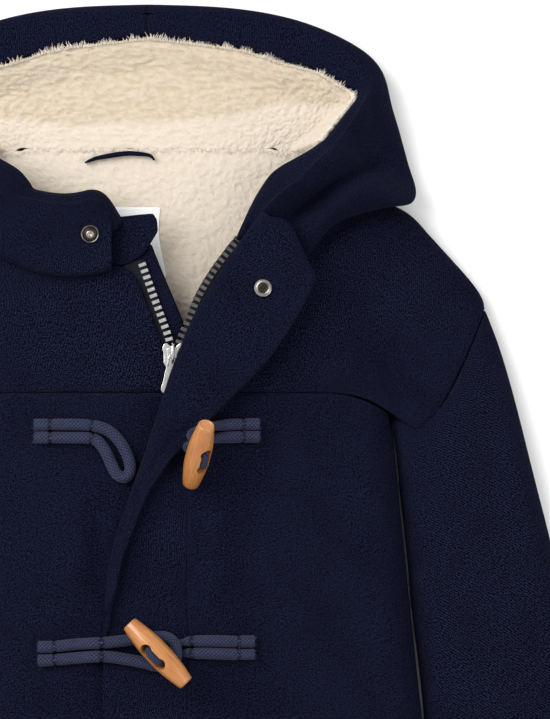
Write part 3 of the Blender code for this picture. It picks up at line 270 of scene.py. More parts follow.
# Toggles: both ends of the axis and the way the slot faces.  z is a height over the coat.
TOGGLES = (
    # row_y, low_x, low_y, low_z, high_x, high_y, high_z, slot_x, slot_y, slot_z
    (0, 22, 53.5, 5, 30, 82.5, 31, 0.52, -0.5, 0.6),
    (0, -7.5, -17, 14.2, 19, -44.5, 17.4, -0.38, -0.37, 0.85),
    (-110, -9.5, -20, 14.2, 21.5, -41.5, 17.4, -0.33, -0.47, 0.85),
)
HOLE_HALF = 4.9       # half the distance between a toggle's two holes
HOLE_RADIUS = 3.1
BORE_REACH = 9        # how far a bore's cutter reaches each way from the toggle's axis
GROOVE_OUT = 5.6      # how far the groove's middle is from the toggle's axis
GROOVE_RADIUS = 2.5
STRAND_HALF = 4.2     # half the distance between the cord's two strands in the holes
CORD_IN_SLOT = 1.8    # radius of the cord there
TOOTH = (3.8, 1.42, 2.3)   # across the zip, along it and high
TOOTH_SHIFT = 0.55         # of its middle, from the tape's teeth line towards its partner
SLIDER_SPOT = (13.2, 119.0)
SLIDER = (
    # x, y from the slider's middle, down one side
    (0, 2.2), (1.5, 3.0), (3.6, 4.4), (5.2, 3.2), (5.0, -1), (3.6, -7.5),
)
PULL_TOP = (13.7, 117.0)
PULL_END = (9.4, 98.0)
PULL_ACROSS = (-2.75, -1.8, 1.8, 2.75)
PULL_ALONG = (0.0, 1.3, 5.6, 19.2)
SNAP_STUD_AT = (-28.0, 178.0)
SNAP_SOCKET_AT = (60.0, 153.5)
SNAP_LIFT = 0.75      # clears the slight hollow of the cloth under a flat disc


# ---------------------------------------------------------------- small mathematics

def mix(a, b, share):
    return a + (b - a) * share


def smooth(value):
    value = min(1.0, max(0.0, value))
    return value * value * (3.0 - 2.0 * value)


def spline(rows, place):
    """Columns of a table at a row number that need not be whole (Catmull-Rom)."""
    last = len(rows) - 1
    place = min(float(last), max(0.0, place))
    start = min(last - 1, int(place))
    share = place - start
    before, this, after, beyond = (rows[min(last, max(0, start + k))] for k in (-1, 0, 1, 2))
    columns = []
    for p, q, r, s in zip(before, this, after, beyond):
        columns.append(0.5 * (2 * q + (r - p) * share + (2 * p - 5 * q + 4 * r - s) * share ** 2
                              + (3 * q - p - 3 * r + s) * share ** 3))
    return columns


def along(rows, share):
    """Point at a share of a polyline's length, on the smooth curve through its rows."""
    steps = [math.dist(a[:2], b[:2]) for a, b in zip(rows, rows[1:])]
    target = share * sum(steps)
    for number, step in enumerate(steps):
        if target <= step or number == len(steps) - 1:
            return spline(rows, number + min(1.0, target / step))
        target -= step


def by_height(rows, y):
    """Columns of a table whose first column falls, read at that column's value y."""
    for upper, lower in zip(rows, rows[1:]):
        if y >= lower[0]:
            share = min(1.0, max(0.0, (upper[0] - y) / (upper[0] - lower[0])))
            return [mix(a, b, smooth(share) * 0.4 + share * 0.6) for a, b in zip(upper, lower)][1:]
    return list(rows[-1][1:])


def quarter(share):
    """A quarter turn: how far in, and how far up, for a share of the turn."""
    return 1.0 - math.cos(share * math.pi / 2), math.sin(share * math.pi / 2)


def normal_at(surface, u, v, wrap):
    step = 1e-3
    low_u, high_u = (u - step, u + step) if wrap else (max(0.0, u - step), min(1.0, u + step))
    low_v, high_v = max(0.0, v - step), min(1.0, v + step)
    du = Vector(surface(high_u % 1.0 if wrap else high_u, v))
    du -= Vector(surface(low_u % 1.0 if wrap else low_u, v))
    dv = Vector(surface(u, high_v)) - Vector(surface(u, low_v))
    return du.cross(dv).normalized()


# ---------------------------------------------------------------- the coat's form

def body_top(x, y):
    """Height of the coat's front over the ground, away from its rolled edges."""
    half_width, side, centre = by_height(BODY, y)
    return mix(side, centre, max(0.0, 1.0 - (abs(x) / half_width) ** 2.2))


def half_width(y):
    return by_height(BODY, y)[0]


def side_middle(y):
    """Height at which the front and the back meet, at the body's side."""
    return by_height(BODY, y)[1] * 0.52


def left_step(x, y):
    """The left front lies over the zip and the right front's edge, so it starts higher."""
    return 4.6 * (1.0 - smooth((x - 26.0) / 30.0)) * smooth((115.0 - y) / 40.0)


def front_panel(side):
    """Front below the yoke: u from the zip to the side, v from the yoke's seam to the hem."""
    roll_share = 0.24

    def surface(u, v):
        y_side = mix(90.0, HEM_Y, v)
        inner = LOWER_EDGE[side]
        outer = half_width(y_side)
        flat_end = outer - SIDE_ROLL
        if u < 1.0 - roll_share:
            share = u / (1.0 - roll_share)
            x, rise = mix(inner, flat_end, share), 1.0
        else:
            into, up = quarter((1.0 - u) / roll_share)
            x, rise = outer - SIDE_ROLL * into, up
        y = mix(front_top_y(x), HEM_Y, v)
        top = body_top(x, y) + (left_step(x, y) if side == LEFT else 0.0)
        middle = side_middle(y) + SEAM / 2
        return side * x, y, middle + (top - middle) * rise

    return surface


def front_top_y(x):
    """The yoke's lower seam at x, less the seam's gap, which grows where the seam is curved."""
    return spline_y(YOKE_SEAM, x) - SEAM - 0.9 * smooth((x - 95.0) / 15.0)


def spline_y(rows, x):
    """y of a table of (x, y) rows whose x grows, at x."""
    if x <= rows[0][0]:
        return rows[0][1]
    for first, second in zip(rows, rows[1:]):
        if x <= second[0]:
            share = (x - first[0]) / (second[0] - first[0])
            return mix(first[1], second[1], share)
    return rows[-1][1]


def sleeve_line(station, share):
    """Plan point across the sleeve at a row of SLEEVE, and its height there."""
    inner_x, inner_y, mid_x, mid_y, outer_x, outer_y, height = spline(SLEEVE, station)
    a, b, c = (1 - share) ** 2, 2 * share * (1 - share), share ** 2
    return a * inner_x + b * mid_x + c * outer_x, a * inner_y + b * mid_y + c * outer_y, height


def sleeve_rise(share):
    """How much of the sleeve's height is reached at a share of its width."""
    depth = min(share, 1.0 - share) / 0.17
    return math.sqrt(max(0.0, 1.0 - (1.0 - min(1.0, depth)) ** 2))


def sleeve(side):
    """Sleeve tube: u round it, from its inner edge over the top; v from armhole to cuff."""

    def surface(u, v):
        over = u < 0.5
        turn = u * 2 if over else (1.0 - u) * 2
        if turn < 0.25:
            share = 0.17 * quarter(turn / 0.25)[0]
        elif turn > 0.75:
            share = 1.0 - 0.17 * quarter((1.0 - turn) / 0.25)[0]
        else:
            share = 0.17 + 0.66 * (turn - 0.25) / 0.5
        x, y, height = sleeve_line(v * (len(SLEEVE) - 1), share)
        rise = sleeve_rise(share)
        if over:
            z = SHOULDER_Z + (height - SHOULDER_Z) * rise
        else:
            z = SHOULDER_Z * (1.0 - rise)
        return side * x, y, z

    return surface


def yoke(side):
    """Yoke: u from the neck and front edge to the armhole, v from the shoulder down."""
    neck, edge = (RIGHT_NECK, RIGHT_EDGE) if side == RIGHT else (LEFT_NECK, LEFT_EDGE)
    neck_share = 7 / 12 if side == RIGHT else 4 / 12
    roll = 0.3

    def inner(v):
        if v <= neck_share:
            return along(neck, v / neck_share)
        return along(edge, (v - neck_share) / (1.0 - neck_share))

    def outer(v):
        share = 1.0 - (1.0 - TONGUE) * v
        x, y, _ = sleeve_line(0.0, share)
        return x - 0.5, y + 0.15 + 0.95 * (1.0 - share)

    def lower(u):
        start = edge[-1][0]
        x = mix(start, YOKE_SEAM[-1][0], u)
        return x, spline_y(YOKE_SEAM, x)

    def surface(u, v):
        if v < roll:
            into, rise = quarter(v / roll)
            down = 0.16 * into
        else:
            down, rise = 0.16 + 0.84 * (v - roll) / (1.0 - roll), 1.0
        top, bottom, start, end = along(SHOULDER, u), lower(u), inner(down), outer(down)
        corners = along(SHOULDER, 0.0), along(SHOULDER, 1.0), lower(0.0), lower(1.0)
        spot = []
        for axis in (0, 1):
            ruled = mix(top[axis], bottom[axis], down) + mix(start[axis], end[axis], u)
            twice = mix(mix(corners[0][axis], corners[1][axis], u),
                        mix(corners[2][axis], corners[3][axis], u), down)
            spot.append(ruled - twice)
        x, y = spot
        height = SLEEVE[0][-1]
        arm_share = 1.0 - (1.0 - TONGUE) * down
        shoulder_mix = smooth((u - 0.62) / 0.38)
        top_z = mix(body_top(x, y), height, shoulder_mix)
        rise = mix(rise, sleeve_rise(arm_share), shoulder_mix)
        low = SHOULDER_Z + SEAM / 2
        z = low + (top_z - low) * rise
        return side * x, y, z

    return surface


def back(u, v):
    """Back: u from side to side, v from the neck to the hem; its outer face lies down."""
    across = 2.0 * u - 1.0
    row = v * (len(BACK_ROWS) - 1)
    first = min(len(BACK_ROWS) - 2, int(row + 1e-9))
    y_side = mix(BACK_ROWS[first], BACK_ROWS[first + 1], row - first)
    outer = back_reach(y_side)
    roll = 0.375
    reach = abs(across)
    if reach > 1.0 - roll:
        into, up = quarter((1.0 - reach) / roll)
        x, rise = outer - SIDE_ROLL * into, 1.0 - up
    else:
        x, rise = (outer - SIDE_ROLL) * reach / (1.0 - roll), 0.0
    neck = (NECK_BACK_Y - 206.0) * max(0.0, 1.0 - (x / 84.0) ** 2)
    y = y_side + neck * max(0.0, 1.0 - v / 0.3)
    return math.copysign(x, across), y, back_edge(y_side) * rise


def back_reach(y):
    """Half width of the back at y: body side, armhole or shoulder."""
    if y <= 83.0:
        return half_width(y)
    best = half_width(y)
    for number in range(40, 101):
        x, arm_y, _ = sleeve_line(0.0, number / 100)
        if arm_y <= y:
            best = x - 1.4
    if y < 140.5:
        return mix(half_width(83.0), best, min(1.0, (y - 83.0) / 9.0) ** 0.45)
    for first, second in zip(SHOULDER, SHOULDER[1:]):
        if second[1] <= y <= first[1]:
            return mix(second[0], first[0], (y - second[1]) / (first[1] - second[1]))
    return SHOULDER[-1][0] if y < 150.0 else SHOULDER[0][0]


def back_edge(y):
    """Height of the back's edge: it curls up at the sides and shoulders, not at the armhole."""
    if y <= 83.0:
        return side_middle(y) - SEAM / 2
    if y <= 92.0:
        return (side_middle(83.0) - SEAM / 2) * ((92.0 - y) / 9.0) ** 2
    corner = smooth((206.5 - y) / 4.0)
    return (SHOULDER_Z - SEAM / 2) * min(1.0, max(0.0, (y - 135.0) / 6.0)) * corner


def toward(start, end, distance):
    """Plan point at a distance from start on the way to end."""
    length = math.dist(start, end)
    return (start[0] + (end[0] - start[0]) * distance / length,
            start[1] + (end[1] - start[1]) * distance / length)


def mix_point(first, second, share):
    return tuple(mix(a, b, share) for a, b in zip(first, second))


def hood_low(x, y, over):
    """Height of the hood's under layer: on the ground, or over the shoulder."""
    return max(body_top(x, y) + 0.8, 19.0) * over


def hood(side):
    """Half of the hood: u from the rim round its folded edge to the neck, v to its front."""
    rows = HOOD + (COLLAR if side == RIGHT else HOOD_LEFT_END)
    last_hood_row = len(HOOD) - 1

    def surface(u, v):
        station = v * (len(rows) - 1)
        rim_x, rim_y, rim_z, edge_x, edge_y, seam_x, seam_y = spline(rows, station)
        over = smooth((station - 10.5) / 2.0)
        low_roll = smooth((station - last_hood_row) / 2.0) if side == RIGHT else 0.0
        rim, edge, seam = (rim_x, rim_y), (edge_x, edge_y), (seam_x, seam_y)
        upper = mix(min(14.0, 0.96 * math.dist(rim, edge)), 4.2, low_roll)
        under = mix(min(11.0, 0.6 * math.dist(seam, edge)), 4.0, low_roll)
        low = hood_low(edge_x, edge_y, over)
        edge_z = mix(min(low + 7.0, mix(low, rim_z, 0.5)), low + 3.4, low_roll)
        fall = rim_z - 0.9 * (math.dist(rim, edge) - upper)
        high = mix(min(rim_z, max(edge_z + 9.0, fall)), low + 6.9, low_roll)
        top = toward(edge, rim, upper)
        base = toward(edge, seam, under)
        if u < 0.5:
            if u < 0.3:
                spot, z = mix_point(rim, top, u / 0.3), mix(rim_z, high, smooth(u / 0.3))
            else:
                into, up = quarter(1.0 - (u - 0.3) / 0.2)
                spot, z = toward(edge, rim, upper * into), mix(edge_z, high, up)
            into, up = quarter(1.0 - u / 0.5)
            narrow = smooth((18.0 - math.dist(rim, edge)) / 8.0) * (1.0 - low_roll)
            spot = mix_point(spot, toward(edge, rim, math.dist(rim, edge) * into), narrow)
            z = mix(z, mix(edge_z, rim_z, up), narrow)
        elif u < 0.72:
            into, up = quarter((u - 0.5) / 0.22)
            spot = toward(edge, seam, under * into)
            z = mix(edge_z, hood_low(*spot, over), up)
        else:
            spot = mix_point(base, seam, (u - 0.72) / 0.28)
            z = hood_low(*spot, over)
        return side * (spot[0] + SEAM), spot[1], z

    return surface


def facing_rows(side):
    """Rim and inner edge of the facing at each row: six columns."""
    rows = []
    outline = HOOD + (HOOD_LEFT_END if side == LEFT else ())
    for rim, inner in zip(outline, FACING):
        rows.append((*rim[:3], *inner[:3]))
    if side == RIGHT:
        for rim, drift in zip(COLLAR, (0, 0, 0, 0, 0.4, 1.4, 3.0)):
            rows.append((*rim[:3], rim[0] - drift, rim[1] + 5.6 - 0.3 * drift, rim[2] - 14.0))
    return rows


def facing(side):
    """Facing inside the hood's rim: u from the rim inwards, v to the front."""
    rows = facing_rows(side)

    def surface(u, v):
        station = v * (len(rows) - 1)
        rim_x, rim_y, rim_z, in_x, in_y, in_z = spline(rows, station)
        rim, inner = (rim_x, rim_y), (in_x, in_y)
        steep = smooth(1.0 - abs(station - 7.0) / 2.5)
        start = toward(rim, inner, SEAM + 0.15 + 1.4 * steep)
        bend = toward(rim, inner, min(0.85 * math.dist(rim, inner), WOOL + 2.4))
        a, b, c = (1 - u) ** 2, 2 * u * (1 - u), u ** 2
        spot = [a * start[k] + b * bend[k] + c * inner[k] for k in (0, 1)]
        return side * (spot[0] + SEAM), spot[1], (a + b) * rim_z + c * in_z

    return surface


def hood_lining(u, v):
    """Sherpa inside the hood: u from the facing down to the neck, v from side to side."""
    station = (2.0 * v - 1.0) * LINED_ROWS
    in_x, in_y, in_z, floor_x, floor_y = spline(FACING, abs(station))
    inner, floor = (in_x, in_y), (floor_x, floor_y)
    start = toward(inner, floor, 1.4)
    reach = math.dist(start, floor)
    spot = mix_point(start, floor, u)
    fall = smooth(u * reach / min(18.0, reach))
    x = math.copysign(spot[0], station) if abs(station) > 1e-9 else 0.0
    return x, spot[1], mix(in_z + 1.0, LINING_TOP_Z - 0.5, fall)


def flap(u, v):
    """Flap: u from its seam round the fold to its free edge, v from its top to the hem."""
    row = v * (len(FLAP) - 1)
    fold_x, fold_y, free_x, free_y, root_x, root_y, base, free_lift, turn = spline(FLAP, row)
    turn = math.radians(min(180.0, max(0.0, turn)))
    fold, free, root = (fold_x, fold_y), (free_x, free_y), (root_x, root_y)
    away = toward((0.0, 0.0), (free_x - fold_x, free_y - fold_y), 1.0)
    bend = FOLD_RADIUS + (FOLD_EASE * (1.0 - turn / math.pi) / turn if turn > 0.01 else 0.0)
    end = max(1.0, math.dist(fold, free) - FOLD_RADIUS) if turn > 3.1 else 1.0
    reach = bend * math.sin(min(turn, math.pi / 2)) if turn > 0.01 else FOLD_EASE
    if turn < math.pi / 2:
        reach += end * math.cos(turn)
    start = (fold[0] + away[0] * reach, fold[1] + away[1] * reach)
    low = body_top(*start) + base
    if u < 0.34:
        spot = mix_point(root, start, u / 0.34)
        return *spot, body_top(*spot) + base
    swept = turn * min(1.0, (u - 0.34) / 0.33)
    if turn > 0.01:
        out, up = bend * math.sin(swept), bend * (1.0 - math.cos(swept))
    else:
        out, up = FOLD_EASE * min(1.0, (u - 0.34) / 0.33), 0.0
    share = max(0.0, (u - 0.67) / 0.33)
    out += end * share * math.cos(turn)
    up += end * share * math.sin(turn)
    bow = FLAP_BOW * math.sin(math.pi * math.sqrt(share)) * math.sqrt(1.0 - share)
    bow *= max(0.0, 1.0 - row / 1.6) ** 2
    x = start[0] - away[0] * out - away[1] * bow
    y = start[1] - away[1] * out + away[0] * bow
    folded_share = (turn / math.pi) ** 8
    up += (free_lift - base - 2.0 * FOLD_RADIUS) * share * folded_share
    return x, y, low + up + body_top(x, y) - body_top(*start)


def tape(side):
    """Zip tape: u from the teeth outwards under the front, v from its top end down."""
    width = 10.0

    def surface(u, v):
        x, y = along(TEETH[side], v)[:2]
        ahead = along(TEETH[side], min(1.0, v + 0.01))
        behind = along(TEETH[side], max(0.0, v - 0.01))
        run = toward((0.0, 0.0), (ahead[0] - behind[0], ahead[1] - behind[1]), 1.0)
        x -= side * run[1] * width * u
        y += side * run[0] * width * u
        return x, y, body_top(x, y) - WOOL - 0.4

    return surface


def guard(u, v):
    """Panel behind the zip: u from its inner edge, v from its top down."""
    inner_x, outer_x, y = spline(GUARD, v * (len(GUARD) - 1))
    x = mix(inner_x, outer_x, u)
    return x, y, body_top(x, y) - WOOL - TAPE - 0.9


def label(u, v):
    y, right_x = spline(LABEL, v * (len(LABEL) - 1))
    return mix(LABEL_LEFT_X, right_x, u), y, LINING_TOP_Z + SEAM + 0.6


def fastened_top(x, y):
    """Height of the closed coat's top, which a cord lies on: fronts, with the flap between."""
    if x > 24.0:
        lift = left_step(x, y)
    elif x > 19.0:
        lift = 4.7
    else:
        lift = (0.7 + TWO_PLY) * smooth((x + 32.0) / 7.0)
    return body_top(x, y) + lift


def front_top(x, y):
    return body_top(x, y) + (left_step(x, y) if x > 0 else 0.0)


def raised(rows, over, shift=0.0):
    """Rows of (x, y, height, radius) set on the surface over(x, y)."""
    made = []
    for x, y, height, *radius in rows:
        y += shift
        made.append((x, y, over(x, y) + height, radius[0] if radius else CORD_DIAMETER / 2))
    return made


def frame_of(toggle, over):
    """Middle, axis and slot direction of a toggle."""
    row_y, low_x, low_y, low_z, high_x, high_y, high_z, *slot = toggle
    mid_x, mid_y = (low_x + high_x) / 2, (low_y + high_y) / 2 + row_y
    ground = over(mid_x, mid_y)
    low = Vector((low_x, low_y + row_y, ground + low_z))
    high = Vector((high_x, high_y + row_y, ground + high_z))
    axis = (high - low).normalized()
    slot = Vector(slot)
    slot = (slot - axis * slot.dot(axis)).normalized()
    return (low + high) / 2, axis, slot


def slot_path(middle, axis, slot):
    """The cord's way through a toggle: in at the back, along the groove and out again."""
    rows = []
    for share, out in (
        (1.0, -6.4), (1.0, -2.0), (1.0, 3.0), (0.8, 4.7), (0.4, 5.4),
        (-0.4, 5.4), (-0.8, 4.7), (-1.0, 3.0), (-1.0, -2.0), (-1.0, -6.4),
    ):
        rows.append((*(middle + axis * (share * STRAND_HALF) + slot * out), CORD_IN_SLOT))
    return rows


def spot_on(surface, x, y):
    """Point and upward normal of surface(u, v) nearest above the plan point."""
    best = None
    count = 60
    for i in range(count + 1):
        for j in range(count + 1):
            point = Vector(surface(i / count, j / count))
            miss = (point.x - x) ** 2 + (point.y - y) ** 2 - point.z * 0.2
            if best is None or miss < best[0]:
                best = (miss, i / count, j / count, point)
    _, u, v, point = best
    normal = normal_at(surface, u, v, False)
    return point, normal if normal.z > 0 else -normal


# ---------------------------------------------------------------- folds in the laid cloth

# Soft folds of the top layers: each a line in plan with a bend, its width and its height.
FOLDS = (
    # x0, y0, bend_x, bend_y, x1, y1, width, height
    (-37, 62, -36, 0, -38, -80, 7, 1.3), (-23.5, 52, -25, -10, -25, -90, 4.5, -1.7),
    (-62, 40, -66, -20, -60, -110, 12, 1.4), (-90, 60, -98, 0, -96, -90, 14, -1.5),
    (38, 62, 36, 20, 37, -60, 7, 1.5), (27.5, 50, 26, 0, 26, -80, 4, -1.7),
    (5, 47, 3, 30, 0.5, 4, 2.4, -1), (11, 44, 10, 20, 8, -10, 4, 0.8),
    (66, 60, 78, 20, 74, -50, 13, 1.6), (100, 92, 96, 50, 104, -10, 10, -1.7),
    (119, 118, 125, 104, 131, 90, 5, -2), (112, 112, 118, 98, 121, 88, 5, 1.2),
    (50, -90, 60, -160, 52, -280, 15, 2), (96, -120, 88, -190, 98, -290, 14, -2.2),
    (-50, -130, -58, -200, -50, -288, 14, 1.9), (-104, -110, -94, -200, -108, -290, 15, -2),
    (130, -90, 124, -170, 134, -280, 11, 1.7), (-132, -60, -126, -160, -136, -270, 10, 1.6),
    (150, 120, 165, 80, 168, 30, 8, 1.5), (176, 96, 172, 60, 180, 20, 7, -1.6),
    (146, 64, 160, 40, 172, 30, 6, -1.3), (188, 20, 186, -40, 196, -90, 9, 1.4),
    (165, -10, 176, -70, 178, -120, 8, -1.5), (206, -70, 206, -120, 216, -180, 9, -1.5),
    (182, -120, 196, -150, 206, -210, 9, 1.5),
    (-150, 118, -160, 82, -172, 20, 8, 1.4), (-172, 100, -176, 56, -170, 10, 7, -1.5),
    (-148, 50, -158, 30, -176, 20, 6, -1.2), (-190, 0, -186, -50, -200, -110, 9, 1.5),
    (-166, -30, -172, -80, -184, -140, 8, -1.5), (-208, -90, -206, -140, -222, -200, 9, -1.4),
    (70, 150, 90, 130, 96, 104, 12, 1.2), (100, 180, 116, 160, 138, 150, 10, -1.3),
    (-60, 150, -76, 130, -70, 104, 14, 1.3), (-102, 178, -118, 160, -134, 140, 11, -1.4),
    (-30, 150, -34, 130, -28, 106, 10, -0.8), (82, 168, 98, 194, 132, 192, 4.5, -3),
)
# Creases in the hood's cloth: the same columns.
HOOD_FOLDS = (
    (112, 211, 88, 203.5, 69, 182, 2.8, -3),
    (116, 213, 90, 205, 68, 180, 4.2, -8.5), (98, 219, 78, 210, 60, 190, 4.6, 3.2),
    (120, 204, 100, 199, 82, 176, 5, 3.4), (108, 244, 114, 230, 118, 212, 6, 1.8),
    (99, 232, 104, 222, 112, 213, 4.5, -2.2), (40, 290.5, 60, 287.5, 84, 279, 2.6, -0.9),
    (20, 286, 44, 283, 70, 274, 3, 0.9),
    (-86, 200, -96, 204, -108, 214, 5, -2.4), (-74, 186, -90, 182, -104, 190, 5, -1.6),
    (-56, 182, -66, 188, -74, 200, 4, 1.4), (-40, 176, -52, 170, -70, 172, 4.5, -1.4),
    (-104, 240, -112, 226, -120, 212, 6, 1.3), (-40, 290, -62, 287, -86, 278, 2.8, -1),
)


def fold_height(rows, x, y):
    """Sum of the soft folds at plan points, given as arrays in millimetres."""
    total = np.zeros_like(x)
    for x0, y0, bend_x, bend_y, x1, y1, width, height in rows:
        best = np.full_like(x, 1e9)
        share = np.zeros_like(x)
        legs = 8
        for leg in range(legs):
            a, b = leg / legs, (leg + 1) / legs
            start = np.array([(1 - a) ** 2 * x0 + 2 * a * (1 - a) * bend_x + a * a * x1,
                                 (1 - a) ** 2 * y0 + 2 * a * (1 - a) * bend_y + a * a * y1])
            stop = np.array([(1 - b) ** 2 * x0 + 2 * b * (1 - b) * bend_x + b * b * x1,
                                (1 - b) ** 2 * y0 + 2 * b * (1 - b) * bend_y + b * b * y1])
            run = stop - start
            along_it = ((x - start[0]) * run[0] + (y - start[1]) * run[1]) / (run @ run)
            along_it = np.clip(along_it, 0.0, 1.0)
            miss = (x - start[0] - run[0] * along_it) ** 2 + (y - start[1] - run[1] * along_it) ** 2
            closer = miss < best
            best = np.where(closer, miss, best)
            share = np.where(closer, a + (b - a) * along_it, share)
        fade = np.sin(math.pi * (0.12 + 0.76 * share)) ** 0.8
        total += height * fade * np.exp(-best / width ** 2)
    return total


def waves(x, y):
    """Long, low unevenness of cloth laid on a table."""
    return (0.45 * np.sin(x / 23.0 + 1.3 * np.sin(y / 61.0)) * np.sin(y / 47.0 + 0.7)
            + 0.25 * np.sin(x / 9.5 + y / 17.0) * np.sin(y / 29.0 - x / 41.0))


def relief(x, y):
    """How far the coat's top stands off its plain form at a plan point, in millimetres."""
    x, y = np.asarray(x, float), np.asarray(y, float)
    flat_zip = np.clip((np.abs(x - 14.0) - 12.0) / 16.0, 0.0, 1.0)
    above_yoke = np.clip((y - 96.0) / 12.0, 0.0, 1.0)
    keep = 1.0 - above_yoke * (1.0 - flat_zip)
    for low_y, high_y in ((50.0, 88.0), (-54.0, -12.0), (-164.0, -122.0)):
        inside_x = np.clip((62.0 - np.abs(x)) / 12.0, 0.0, 1.0)
        inside_y = np.clip((12.0 - np.maximum(low_y - y, y - high_y)) / 12.0, 0.0, 1.0)
        keep = keep * (1.0 - inside_x * inside_y)
    return (fold_height(FOLDS, x, y) + waves(x, y)) * keep


def shaped(points, hood_share):
    """Points in millimetres with the folds in them; what lies on the ground stays there."""
    x, y, z = points.T
    lift = np.clip((z - 8.0) / 9.0, 0.0, 1.0)
    moved = points.copy()
    change = (1.0 - hood_share) * relief(x, y)
    if hood_share > 0.0:
        change = change + hood_share * (fold_height(HOOD_FOLDS, x, y) + 0.6 * waves(x, y))
    moved[:, 2] += change * lift
    return moved


# ---------------------------------------------------------------- making meshes

DRESSED = {}   # finished piece for each CAD node's name


def finish_piece(item, slot, *nodes):
    """The piece rides on the coat and stands for CAD nodes; slot is not used."""
    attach(item, "root")
    DRESSED.update({name: item for name in nodes})
    if nodes:
        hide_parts(*nodes)
    return item


def new_object(name, vertices, faces, finish, uvs=None, smooth=True):
    """A mesh object at the origin from points in metres; uvs holds a row for each point."""
    mesh = bpy.data.meshes.new(name)
    mesh.from_pydata([tuple(v) for v in vertices], [], [tuple(f) for f in faces])
    if uvs is not None:
        layer = mesh.uv_layers.new(name="cloth")
        loops = np.empty(len(mesh.loops), dtype=np.int32)
        mesh.loops.foreach_get("vertex_index", loops)
        layer.data.foreach_set("uv", np.asarray(uvs, dtype=np.float32)[loops].ravel())
    if smooth:
        mesh.shade_smooth()
    mesh.materials.append(finish)
    item = bpy.data.objects.new(name, mesh)
    bpy.context.scene.collection.objects.link(item)
    return item


def only(item):
    """Makes the object the only one selected."""
    bpy.ops.object.select_all(action="DESELECT")
    item.select_set(True)
    bpy.context.view_layer.objects.active = item


def apply_modifiers(item):
    """Applies the piece's modifiers in order."""
    only(item)
    for step in list(item.modifiers):
        if bpy.ops.object.modifier_apply(modifier=step.name) != {"FINISHED"}:
            raise RuntimeError("%s: %s could not be applied" % (item.name, step.name))


def points_of(item):
    flat = np.empty(len(item.data.vertices) * 3)
    item.data.vertices.foreach_get("co", flat)
    return flat.reshape(-1, 3)


def set_points(item, points):
    item.data.vertices.foreach_set("co", np.ascontiguousarray(points).ravel())
    item.data.update()


def normals_of(item):
    flat = np.empty(len(item.data.vertices) * 3)
    item.data.vertices.foreach_get("normal", flat)
    return flat.reshape(-1, 3)


def mark_points(item, name, values):
    """Keeps a value for each point of the piece, for its material to read."""
    layer = item.data.attributes.new(name, "FLOAT", "POINT")
    layer.data.foreach_set("value", np.asarray(values, dtype=np.float32))


def add_depth(item, values):
    """Marks how deep in a hollow each point lies, from 0 to 1; the pile, the braid and the zip's teeth are painted
    darker there, as shade.
    """
    mark_points(item, "depth", np.clip(values, 0.0, 1.0))


def run_lengths(line):
    """Distance along a line of points from its first point to each."""
    return np.concatenate([[0.0], np.cumsum(np.linalg.norm(np.diff(line, axis=0), axis=1))])


LOCK_STEPS = (0.0, 1.0 / 3.0, 2.0 / 3.0, 1.0)   # shares of a lock's length at its four rings


def tube_faces(base, rings, sides):
    """Quads between rings of points that follow one another from the index base."""
    faces = []
    for ring in range(rings - 1):
        for k in range(sides):
            a, b = base + ring * sides + k, base + ring * sides + (k + 1) % sides
            faces.append((a, b, b + sides, a + sides))
    return faces


def add_lock(vertices, faces, middles, sizes, side_way, up):
    """Adds a lock of yarn with three sides along four middle points, closed at both ends."""
    base = len(vertices)
    for middle, size in zip(middles, sizes):
        for k in range(3):
            turn = 2.0 * math.pi * k / 3.0
            vertices.append((middle + (side_way * math.cos(turn) + up * math.sin(turn)) * size) * MM)
    faces += tube_faces(base, 4, 3)
    faces += [(base, base + 2, base + 1), (base + 9, base + 10, base + 11)]


def turn_outwards(item):
    """Turns the mesh's faces outwards if its volume comes out negative."""
    bm = bmesh.new()
    bm.from_mesh(item.data)
    if bm.calc_volume(signed=True) < 0.0:
        bmesh.ops.reverse_faces(bm, faces=bm.faces)
        bm.to_mesh(item.data)
    bm.free()


def surface_grid(surface, across, down, thickness, wrap, inside):
    """Outer and inner points of a wall, in millimetres, and a UV for each, in metres."""
    columns = across if wrap else across + 1
    outer = np.zeros((columns, down + 1, 3))
    inner = np.zeros_like(outer)
    for i in range(columns):
        for j in range(down + 1):
            u, v = i / across, j / down
            point = np.array(surface(u, v), float)
            outer[i, j] = point
            inner[i, j] = point + np.array(normal_at(surface, u, v, wrap)) * (-inside * thickness)
    uv = np.zeros((columns, down + 1, 2))
    middle = columns // 2
    steps = np.linalg.norm(np.diff(outer, axis=0), axis=2)
    uv[1:, :, 0] = np.cumsum(steps, axis=0)
    uv[:, :, 0] -= uv[middle, :, 0][None, :]
    fall = np.linalg.norm(np.diff(outer[middle], axis=0), axis=1)
    uv[:, 1:, 1] = -np.cumsum(fall)[None, :]
    return outer, inner, uv * MM


